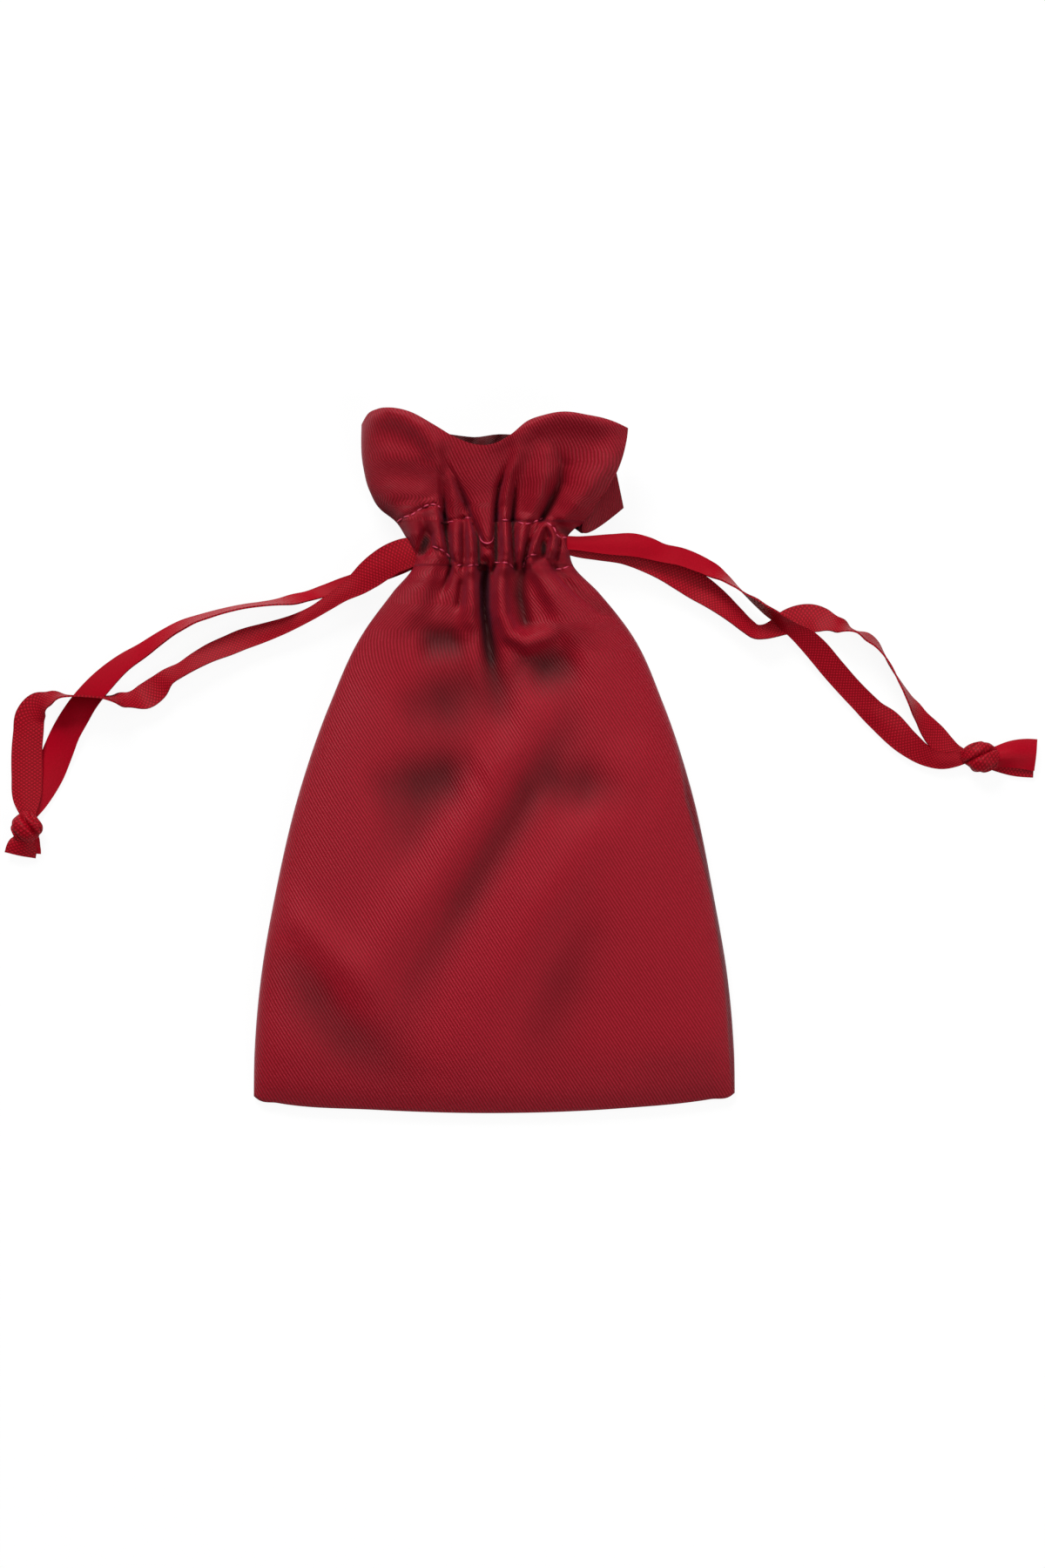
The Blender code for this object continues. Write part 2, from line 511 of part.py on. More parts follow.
def swept_strip(name, centres, across, widths, folds, material):
    """A strip along the centres, folded down to both sides of its middle, with square cut ends."""
    along = np.gradient(centres, axis=0)
    along /= np.linalg.norm(along, axis=1)[:, None]
    across = across - (across * along).sum(axis=1)[:, None] * along
    across /= np.linalg.norm(across, axis=1)[:, None]
    facing = np.cross(along, across)
    half = np.asarray(widths, float) / 2
    slope = np.radians(folds)
    # The fold always hangs down, whichever face of the ribbon is up.
    down = np.where(facing[:, 2] >= 0, 1.0, -1.0) * np.sin(slope)
    out = half * np.cos(slope)
    drop = half * down
    thick = RIBBON_THICKNESS / 2
    corners = [(-1, 1, -1), (0, 0, -1), (1, 1, -1), (1, 1, 1), (0, 0, 1), (-1, 1, 1)]
    rings = []
    for side, at_edge, up in corners:
        middle = centres + (side * out)[:, None] * across + (drop / 2 - at_edge * drop)[:, None] * facing
        normal = np.where(at_edge, np.cos(slope), 1.0)[:, None] * facing + (side * down)[:, None] * across
        rings.append(middle + up * thick * normal)
    points = np.stack(rings, axis=1).reshape(-1, 3)
    # Both faces are split along the same diagonals, or they would pass through each other where the strip twists.
    first_diagonal = {0, 1, 5}
    ring = len(corners)
    faces = []
    for place in range(len(centres) - 1):
        for corner in range(ring):
            a = ring * place + corner
            b = ring * place + (corner + 1) % ring
            if corner in first_diagonal:
                faces += [(a, b, b + ring), (a, b + ring, a + ring)]
            else:
                faces += [(a, b, a + ring), (b, b + ring, a + ring)]
    last = ring * (len(centres) - 1)
    for first, flip in ((0, True), (last, False)):
        for quad in ((0, 1, 4, 5), (1, 2, 3, 4)):
            end_face = tuple(first + corner for corner in quad)
            faces.append(end_face[::-1] if flip else end_face)
    return solid_from(name, points, faces, material)


def casing_loop(name, side, middle_y, material):
    """The stretch of a ribbon inside the casing: in by one slit, all round the lining, and out again."""
    left, right = lining_sides(-(RIBBON_CLEARANCE + RIBBON_THICKNESS / 2))
    middle = (left + right) / 2
    reach = (right - left) / 2
    shares = -np.cos(np.linspace(0, math.pi, 17))[1:]
    lift = RIBBON_HALF * np.sqrt(1 - np.abs(shares) ** 6)
    level = float(drawn_y(middle_y))
    # Drawn for the ribbon that leaves on the left, then mirrored for the other.
    if side < 0:
        end_of_side = real_x(float(left_side(level)), level)
    else:
        end_of_side = -real_x(float(right_side(level)), level)
        middle = -middle
    stations = [(end_of_side + 0.4, RIBBON_APART / 2), ((end_of_side + middle - reach) / 2, RIBBON_APART / 2)]
    stations += [(middle + share * reach, height) for share, height in zip(shares, lift)]
    upper = np.array(stations)
    lower = upper[::-1][1:] * [1, -1]
    route = np.concatenate([upper, lower])
    y = np.full(len(route), middle_y)
    centres = np.stack([-side * route[:, 0], y, NECK_MIDDLE + route[:, 1]], axis=1)
    across = np.tile([0.0, 1.0, 0.0], (len(centres), 1))
    widths = np.full(len(centres), RIBBON_FOLDED_WIDTH)
    return swept_strip(name, centres, across, widths, np.zeros(len(centres)), material)


def ribbon_tail(name, route, material):
    """A tail of a ribbon through the points of its route."""
    route = np.array(route, float)
    lengths = np.r_[0, np.cumsum(np.linalg.norm(np.diff(route[:, :3], axis=0), axis=1))]
    curve = smooth_curve(np.column_stack([lengths, route]))
    count = max(12, int(lengths[-1] / STATION_SPACING))
    samples = curve(np.linspace(0, lengths[-1], count))
    centres = samples[:, :3]
    along = np.gradient(centres, axis=0)
    along /= np.linalg.norm(along, axis=1)[:, None]
    level = np.cross([0.0, 0.0, 1.0], along)
    level /= np.linalg.norm(level, axis=1)[:, None]
    rise = np.cross(along, level)
    roll = np.radians(samples[:, 3])[:, None]
    across = np.cos(roll) * level + np.sin(roll) * rise
    return swept_strip(name, centres, across, RIBBON_WIDTH * samples[:, 5], samples[:, 4], material)


def ribbon_knot(name, start, heading, cut_length, material):
    """The knot that ties the two ends of a ribbon, with the two cut ends beyond it as one flared piece."""
    heading = math.radians(heading)
    along = np.array([math.cos(heading), math.sin(heading), 0.0])
    beside = np.array([-math.sin(heading), math.cos(heading), 0.0])
    # Each station: how far along the knot, its width and thickness, and how high its middle lies
    stations = [(0.0, 4.2, 1.7, 1.1), (0.10, 5.1, 2.9, 1.6), (0.3, KNOT_WIDTH, KNOT_THICKNESS, 2.0), (0.55, KNOT_WIDTH, KNOT_THICKNESS, 2.0)]
    stations += [(0.8, 5.2, 3.2, 1.8), (1.0, 3.6, 2.0, 1.5)]
    stations = [(share * KNOT_LENGTH, width, thick, height) for share, width, thick, height in stations]
    stations += [(KNOT_LENGTH + 0.45 * cut_length, 5.0, 1.3, 1.2), (KNOT_LENGTH + cut_length, RIBBON_WIDTH, 1.0, 0.9)]
    sides = 14
    points = []
    for distance, width, thick, height in stations:
        for side in range(sides):
            angle = 2 * math.pi * side / sides
            point = np.array(start) + along * distance + beside * math.cos(angle) * width / 2
            point = point + np.array([0.0, 0.0, height + math.sin(angle) * thick / 2])
            points.append(point)
    faces = []
    for station in range(len(stations) - 1):
        for side in range(sides):
            a = station * sides + side
            b = station * sides + (side + 1) % sides
            faces.append((a, b, b + sides, a + sides))
    faces.append(tuple(reversed(range(sides))))
    last = (len(stations) - 1) * sides
    faces.append(tuple(range(last, last + sides)))
    return solid_from(name, points, faces, material)


# The two ends of one ribbon leave a slit one above the other, this far apart.
RIBBON_APART = 1.2

# The tails as they lie, in millimetres: x, y, z, roll in degrees, how far the ribbon is folded down to both
# sides of its middle in degrees, and its gathered width as a share of its own, from the slit to the knot
LEFT_FRONT_TAIL = [
    (-17.1, 42.9, 6.7, 0, 0, 0.38), (-18.6, 42.8, 6.7, 0, 6, 0.70), (-21.0, 42.1, 6.5, 4, 14, 1.0),
    (-23.4, 40.3, 6.1, 6, 26, 1.0), (-25.8, 38.5, 6.0, 8, 48, 1.0), (-28.1, 36.8, 5.9, 8, 62, 1.0),
    (-31.5, 34.7, 5.7, 6, 70, 1.0), (-34.3, 32.9, 5.0, 4, 74, 1.0), (-37.5, 30.9, 4.3, 4, 76, 1.0),
    (-40.5, 29.4, 3.8, 8, 76, 1.0), (-43.4, 28.2, 3.3, 14, 70, 1.0), (-47.8, 26.7, 2.7, 20, 58, 1.0),
    (-52.2, 25.3, 2.5, 26, 48, 1.0), (-55.3, 24.0, 2.6, 36, 42, 1.0), (-58.3, 22.8, 2.8, 46, 36, 1.0),
    (-61.9, 20.9, 3.0, 56, 26, 1.0), (-64.8, 19.1, 3.1, 62, 16, 1.0), (-67.7, 17.5, 3.0, 56, 10, 1.0),
    (-70.1, 15.1, 2.4, 36, 6, 1.0), (-72.5, 13.5, 2.2, 34, 6, 1.0), (-76.1, 12.8, 3.4, 62, 4, 1.0),
    (-78.6, 13.0, 4.3, 77, 0, 1.0), (-80.7, 13.3, 4.9, 86, 0, 1.0), (-84.0, 13.5, 5.3, 90, 0, 1.0),
    (-87.4, 13.6, 5.2, 89, 0, 1.0), (-90.1, 13.5, 4.6, 80, 0, 1.0), (-92.5, 12.9, 3.8, 62, 0, 1.0),
    (-94.4, 11.9, 2.7, 36, 0, 1.0), (-96.2, 9.4, 1.8, 14, 6, 1.0), (-96.6, 6.0, 1.5, 6, 8, 1.0),
    (-96.9, 2.4, 1.5, 2, 8, 1.0), (-96.9, -2.8, 1.8, 0, 8, 1.0), (-96.9, -7.2, 2.5, 0, 24, 0.9),
    (-96.7, -10.5, 2.7, 0, 26, 0.62),
]
LEFT_BACK_TAIL = [
    (-17.1, 42.9, 5.2, 180, 0, 0.38), (-18.8, 42.3, 5.0, 180, 6, 0.60), (-21.4, 40.7, 4.6, 180, 16, 0.90),
    (-24.2, 39.0, 4.0, 176, 30, 0.95), (-28.2, 37.6, 2.8, 170, 40, 1.0), (-31.8, 36.5, 2.4, 158, 36, 1.0),
    (-35.4, 35.3, 2.8, 134, 34, 1.0), (-39.3, 34.1, 3.1, 116, 24, 1.0), (-43.9, 33.2, 3.4, 104, 12, 1.0),
    (-48.4, 32.6, 3.5, 98, 0, 1.0), (-51.4, 32.2, 3.5, 98, 0, 1.0), (-55.3, 31.4, 3.5, 99, 0, 1.0),
    (-58.9, 30.4, 3.5, 101, 0, 1.0), (-62.6, 29.2, 3.4, 104, 0, 1.0), (-66.2, 27.5, 3.3, 109, 0, 1.0),
    (-69.2, 25.6, 3.2, 113, 0, 1.0), (-72.9, 23.0, 2.9, 120, 0, 1.0), (-76.8, 20.5, 2.3, 136, 0, 0.85),
    (-81.0, 16.8, 1.4, 158, 0, 0.78), (-84.9, 12.4, 0.9, 170, 0, 0.78), (-86.9, 9.4, 0.7, 174, 0, 0.85),
    (-88.7, 6.3, 0.6, 177, 4, 0.92), (-90.5, 2.1, 0.5, 180, 4, 1.0), (-92.2, -2.3, 0.5, 180, 6, 0.96),
    (-94.0, -6.2, 0.6, 180, 14, 0.86), (-95.3, -8.8, 0.8, 180, 16, 0.72), (-96.0, -10.1, 0.9, 180, 16, 0.60),
]
RIGHT_FRONT_TAIL = [
    (15.7, 45.6, 6.8, 180, 0, 0.38), (17.6, 44.8, 6.8, 176, 30, 0.52), (20.2, 44.3, 6.7, 170, 56, 0.90),
    (24.4, 44.6, 6.3, 164, 58, 1.0), (28.9, 44.8, 5.9, 160, 48, 1.0), (31.7, 44.2, 5.7, 158, 48, 1.0),
    (34.6, 43.2, 5.4, 152, 56, 1.0), (38.8, 42.3, 5.2, 146, 52, 1.0), (41.7, 41.2, 5.0, 140, 50, 1.0),
    (44.7, 39.8, 5.0, 126, 40, 1.0), (47.3, 38.3, 5.1, 108, 24, 1.0), (49.9, 36.3, 5.2, 96, 10, 1.0),
    (52.0, 34.6, 5.4, 90, 0, 1.0), (54.0, 33.2, 5.5, 82, 0, 1.0), (56.0, 31.6, 5.5, 78, 4, 1.0),
    (58.5, 29.9, 5.4, 72, 10, 1.0), (61.3, 27.8, 5.1, 62, 16, 1.0), (64.1, 25.8, 4.4, 48, 20, 1.0),
    (66.1, 23.9, 3.8, 40, 24, 1.0), (70.4, 18.9, 2.8, 34, 30, 1.0), (73.7, 15.2, 2.4, 30, 36, 1.0),
    (76.7, 12.1, 2.2, 26, 38, 1.0), (78.6, 10.2, 2.0, 22, 34, 1.0), (81.1, 8.2, 1.9, 16, 20, 1.0),
    (85.4, 3.7, 2.6, 22, 18, 0.95), (89.7, 1.1, 3.0, 26, 24, 0.86), (93.0, 0.2, 2.9, 18, 30, 0.72),
    (95.2, 0.5, 2.7, 8, 28, 0.64), (96.9, 0.9, 2.5, 0, 26, 0.58),
]
RIGHT_BACK_TAIL = [
    (15.9, 45.4, 5.2, 0, 0, 0.38), (17.6, 44.2, 4.9, 0, 24, 0.50), (21.9, 43.4, 4.1, -8, 46, 0.90),
    (26.7, 43.0, 3.7, -14, 46, 1.0), (30.7, 42.1, 3.2, -20, 40, 1.0), (34.7, 40.3, 2.8, -26, 34, 1.0),
    (39.2, 37.9, 2.4, -26, 16, 1.0), (41.5, 36.6, 2.3, -26, 8, 1.0), (45.8, 33.7, 2.6, -40, 6, 1.0),
    (50.0, 30.2, 3.1, -56, 4, 1.0), (52.4, 28.1, 3.0, -61, 2, 0.95), (54.2, 26.9, 2.6, -58, 0, 0.86),
    (55.9, 26.9, 2.0, -46, 0, 0.72), (58.1, 27.6, 1.3, -26, 0, 0.66), (59.9, 28.5, 0.9, -12, 0, 0.78),
    (62.6, 29.35, 0.7, -6, 0, 0.92), (65.9, 29.7, 1.1, -10, 0, 0.92), (67.8, 29.4, 2.2, -30, 4, 0.95),
    (70.9, 28.4, 3.0, -60, 4, 1.0), (73.0, 27.6, 3.4, -77, 0, 1.0), (75.0, 26.9, 3.5, -87, 0, 1.0),
    (77.3, 25.8, 3.5, -75, 0, 1.0), (79.0, 24.5, 3.5, -78, 0, 1.0), (80.4, 22.6, 3.5, -85, 0, 1.0),
    (81.8, 20.3, 3.5, -89, 0, 1.0), (83.9, 16.6, 3.5, -85, 0, 1.0), (85.2, 14.4, 3.4, -81, 0, 1.0),
    (86.4, 12.4, 3.4, -75, 0, 1.0), (88.2, 9.8, 2.7, -58, 2, 0.98), (89.7, 7.6, 1.9, -38, 4, 0.88),
    (91.4, 5.4, 1.1, -20, 8, 0.82), (93.4, 3.4, 0.8, -8, 12, 0.76), (94.9, 2.2, 0.8, -2, 16, 0.68),
    (96.3, 1.5, 0.9, 0, 18, 0.58),
]

# Where each knot starts, just past the ends of its tails, and the direction that it points in, in degrees
LEFT_KNOT_START = (-96.5, -11.2, 0.0)
LEFT_KNOT_HEADING = -96.0
RIGHT_KNOT_START = (97.7, 1.0, 0.0)
RIGHT_KNOT_HEADING = 1.0

# The left ribbon runs in the lower half of the casing, and the right ribbon above it.
LEFT_RIBBON_Y = LOWER_STITCH_Y + 2.1
RIGHT_RIBBON_Y = LEFT_RIBBON_Y + RIBBON_FOLDED_WIDTH + RIBBON_CLEARANCE


def make_material(name, colour, roughness):
    material = bpy.data.materials.new(name)
    material.use_nodes = True
    surface = material.node_tree.nodes["Principled BSDF"]
    surface.inputs["Base Color"].default_value = (*colour, 1.0)
    surface.inputs["Roughness"].default_value = roughness
    surface.inputs["Metallic"].default_value = 0.0
    return material


def main():
    for old in list(bpy.data.objects):
        bpy.data.objects.remove(old)
    satin = make_material("dark red satin", (0.28, 0.017, 0.03), 0.38)
    ribbon = make_material("red ribbon", (0.40, 0.004, 0.012), 0.45)
    make_pouch(satin)
    casing_loop("left_ribbon_in_casing", -1, LEFT_RIBBON_Y, ribbon)
    casing_loop("right_ribbon_in_casing", 1, RIGHT_RIBBON_Y, ribbon)
    ribbon_tail("left_front_tail", LEFT_FRONT_TAIL, ribbon)
    ribbon_tail("left_back_tail", LEFT_BACK_TAIL, ribbon)
    ribbon_tail("right_front_tail", RIGHT_FRONT_TAIL, ribbon)
    ribbon_tail("right_back_tail", RIGHT_BACK_TAIL, ribbon)
    ribbon_knot("left_knot", LEFT_KNOT_START, LEFT_KNOT_HEADING, LEFT_CUT_END_LENGTH, ribbon)
    ribbon_knot("right_knot", RIGHT_KNOT_START, RIGHT_KNOT_HEADING, RIGHT_CUT_END_LENGTH, ribbon)


main()
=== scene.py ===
"""The looks of a red satin drawstring pouch, lying drawn shut on a pale table. All lengths are in metres in
Blender, and in millimetres where a shape is worked out."""

import math

import bmesh
import bpy
import numpy as np
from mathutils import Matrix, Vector


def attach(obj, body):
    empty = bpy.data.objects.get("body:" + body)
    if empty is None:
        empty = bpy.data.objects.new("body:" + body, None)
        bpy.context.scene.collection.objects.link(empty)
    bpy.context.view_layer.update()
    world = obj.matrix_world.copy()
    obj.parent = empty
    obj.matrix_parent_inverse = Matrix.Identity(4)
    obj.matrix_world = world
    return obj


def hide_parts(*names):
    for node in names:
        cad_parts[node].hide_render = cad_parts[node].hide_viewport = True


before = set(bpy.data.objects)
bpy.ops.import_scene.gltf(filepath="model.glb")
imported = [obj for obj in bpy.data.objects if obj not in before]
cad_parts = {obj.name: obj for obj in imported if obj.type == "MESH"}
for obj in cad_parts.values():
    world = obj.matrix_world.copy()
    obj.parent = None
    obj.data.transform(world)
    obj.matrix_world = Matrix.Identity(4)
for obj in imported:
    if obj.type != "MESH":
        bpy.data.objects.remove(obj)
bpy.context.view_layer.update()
MM = 0.001

# The camera
# A long lens straight above the pouch, which takes in a field of 216 by 324 mm at the height of its folds.
CAMERA_DISTANCE, FIELD_LENGTH, FOLDS_HEIGHT = 1.6, 0.324, 0.006
lens = bpy.data.cameras.new("camera over the table")
lens.sensor_fit = "VERTICAL"
lens.sensor_height = 36.0
lens.lens = lens.sensor_height * CAMERA_DISTANCE / FIELD_LENGTH
lens.clip_end = 10.0
camera = bpy.data.objects.new("camera over the table", lens)
camera.location = (0.00585, -0.0046, CAMERA_DISTANCE + FOLDS_HEIGHT)
bpy.context.scene.collection.objects.link(camera)
bpy.context.scene.camera = camera


# The table
# A plain white studio table. To the camera it is mostly its own white, with a share of its real light, so
# that the soft shadow under the pouch still shows.
OWN_WHITE_SHARE = 0.92


def linear(hex_colour):
    """An sRGB hex colour as the linear values that a shader takes."""
    channels = [int(hex_colour[place : place + 2], 16) / 255 for place in (1, 3, 5)]
    return tuple(c / 12.92 if c <= 0.04045 else ((c + 0.055) / 1.055) ** 2.4 for c in channels) + (1.0,)


def add_node(material, kind, settings=None, links=None):
    """Adds a shader node. Settings are its properties or its sockets' values, and links feed its sockets."""
    node = material.node_tree.nodes.new(kind)
    for name, value in (settings or {}).items():
        if isinstance(name, int) or name in node.inputs:
            node.inputs[name].default_value = value
        else:
            setattr(node, name, value)
    for name, output in (links or {}).items():
        material.node_tree.links.new(output, node.inputs[name])
    return node


def new_material(name):
    material = bpy.data.materials.new(name)
    material.use_nodes = True
    material.node_tree.nodes.clear()
    return material


table_white = new_material("white table laminate")
paint = add_node(table_white, "ShaderNodeBsdfDiffuse", {"Color": linear("#F4F4F4")})
own_white = add_node(table_white, "ShaderNodeEmission", {"Color": linear("#FFFFFF"), "Strength": 1.0})
seen_by = add_node(table_white, "ShaderNodeLightPath")
share = add_node(
    table_white,
    "ShaderNodeMath",
    {"operation": "MULTIPLY", 1: OWN_WHITE_SHARE},
    {0: seen_by.outputs["Is Camera Ray"]},
)
both = add_node(
    table_white,
    "ShaderNodeMixShader",
    {},
    {0: share.outputs[0], 1: paint.outputs[0], 2: own_white.outputs[0]},
)
add_node(table_white, "ShaderNodeOutputMaterial", {}, {"Surface": both.outputs[0]})
table_mesh = bpy.data.meshes.new("table")
table_mesh.from_pydata([(-3, -3, 0), (3, -3, 0), (3, 3, 0), (-3, 3, 0)], [], [(0, 1, 2, 3)])
table_mesh.materials.append(table_white)
table = bpy.data.objects.new("table", table_mesh)
table.location.z = -0.1 * MM
bpy.context.scene.collection.objects.link(table)


# The light
# Plain studio light. A soft lamp beyond the header rakes down over the folds, weak ones at the right and
# overhead fill in the shade, and the room is pale.
ROOM_LIGHT = 0.15


def soft_lamp(name, place, size, power):
    lamp = bpy.data.lights.new(name, "AREA")
    lamp.shape = "RECTANGLE"
    lamp.size, lamp.size_y = size
    lamp.energy = power
    holder = bpy.data.objects.new(name, lamp)
    holder.location = place
    holder.rotation_euler = (-Vector(place)).to_track_quat("-Z", "Y").to_euler()
    bpy.context.scene.collection.objects.link(holder)


soft_lamp("lamp beyond the header", (-0.5, 1.5, 1.2), (0.8, 0.6), 40)
soft_lamp("lamp at the right", (1.1, -0.7, 1.4), (0.9, 0.9), 13)
soft_lamp("lamp overhead", (0.1, 0.5, 1.7), (1.2, 1.2), 10)
room = bpy.data.worlds.new("pale room")
room.use_nodes = True
room.node_tree.nodes["Background"].inputs["Color"].default_value = linear("#FFFFFF")
room.node_tree.nodes["Background"].inputs["Strength"].default_value = ROOM_LIGHT
bpy.context.scene.world = room
bpy.context.scene.view_settings.view_transform = "Standard"


# The pouch
# One piece of polyester satin, folded at the bottom, sewn up both sides, and gathered by the ribbons in its
# casing. The gathers throw round folds that pass over one another and die away in the slack body.
def smooth_curve(knots):
    """A function through given points: the first number of each is where, the rest are values."""
    knots = np.array(knots, float)
    places = knots[:, 0]
    values = knots[:, 1:]
    slopes = np.gradient(values, places, axis=0)

    def curve(where):
        where = np.clip(np.asarray(where, float), places[0], places[-1])
        low = np.clip(np.searchsorted(places, where) - 1, 0, len(places) - 2)
        step = places[low + 1] - places[low]
        part = ((where - places[low]) / step)[..., None]
        step = step[..., None]
        rise = values[low + 1] - values[low]
        bend = part * (1 - part)
        easing = part * part * (3 - 2 * part)
        value = values[low] + rise * easing
        value = value + bend * step * (slopes[low] * (1 - part) - slopes[low + 1] * part)
        return value[..., 0] if value.shape[-1] == 1 else value

    return curve


# The levels in the drawing, in millimetres, of the bottom fold and of both rows of stitches
BODY_BOTTOM, CASING_BOTTOM, CASING_TOP = -72.8, 40.8, 49.4
# Heights: the neck's middle above the table, how far above that the deepest pleat stays, and the least
# height of the front anywhere else
NECK_MIDDLE, PLEAT_FLOOR, LEAST_HEIGHT = 6.0, 2.25, 2.2

# The outline's left and right edge, at each level
left_side = smooth_curve(
    [(-72.8, -49.9), (-60, -49.7), (-45, -48.4), (-28, -45.5), (-5, -40), (12, -34), (27, -26.9), (35, -21),
     (40.8, -16.6), (44, -17), (46.6, -18.4), (49.8, -20.6), (52, -23.4), (56, -25.8), (61, -27.1),
     (73, -27.4)]
)
right_side = smooth_curve(
    [(-72.8, 49.9), (-60, 49.7), (-45, 48.4), (-28, 45.5), (-5, 40.6), (12, 35), (27, 28), (35, 21.6),
     (40.8, 16.2), (43, 15.6), (46.4, 15.5), (49.4, 18.4), (54, 22), (60, 25.6), (66, 27.4), (73, 27.9)]
)
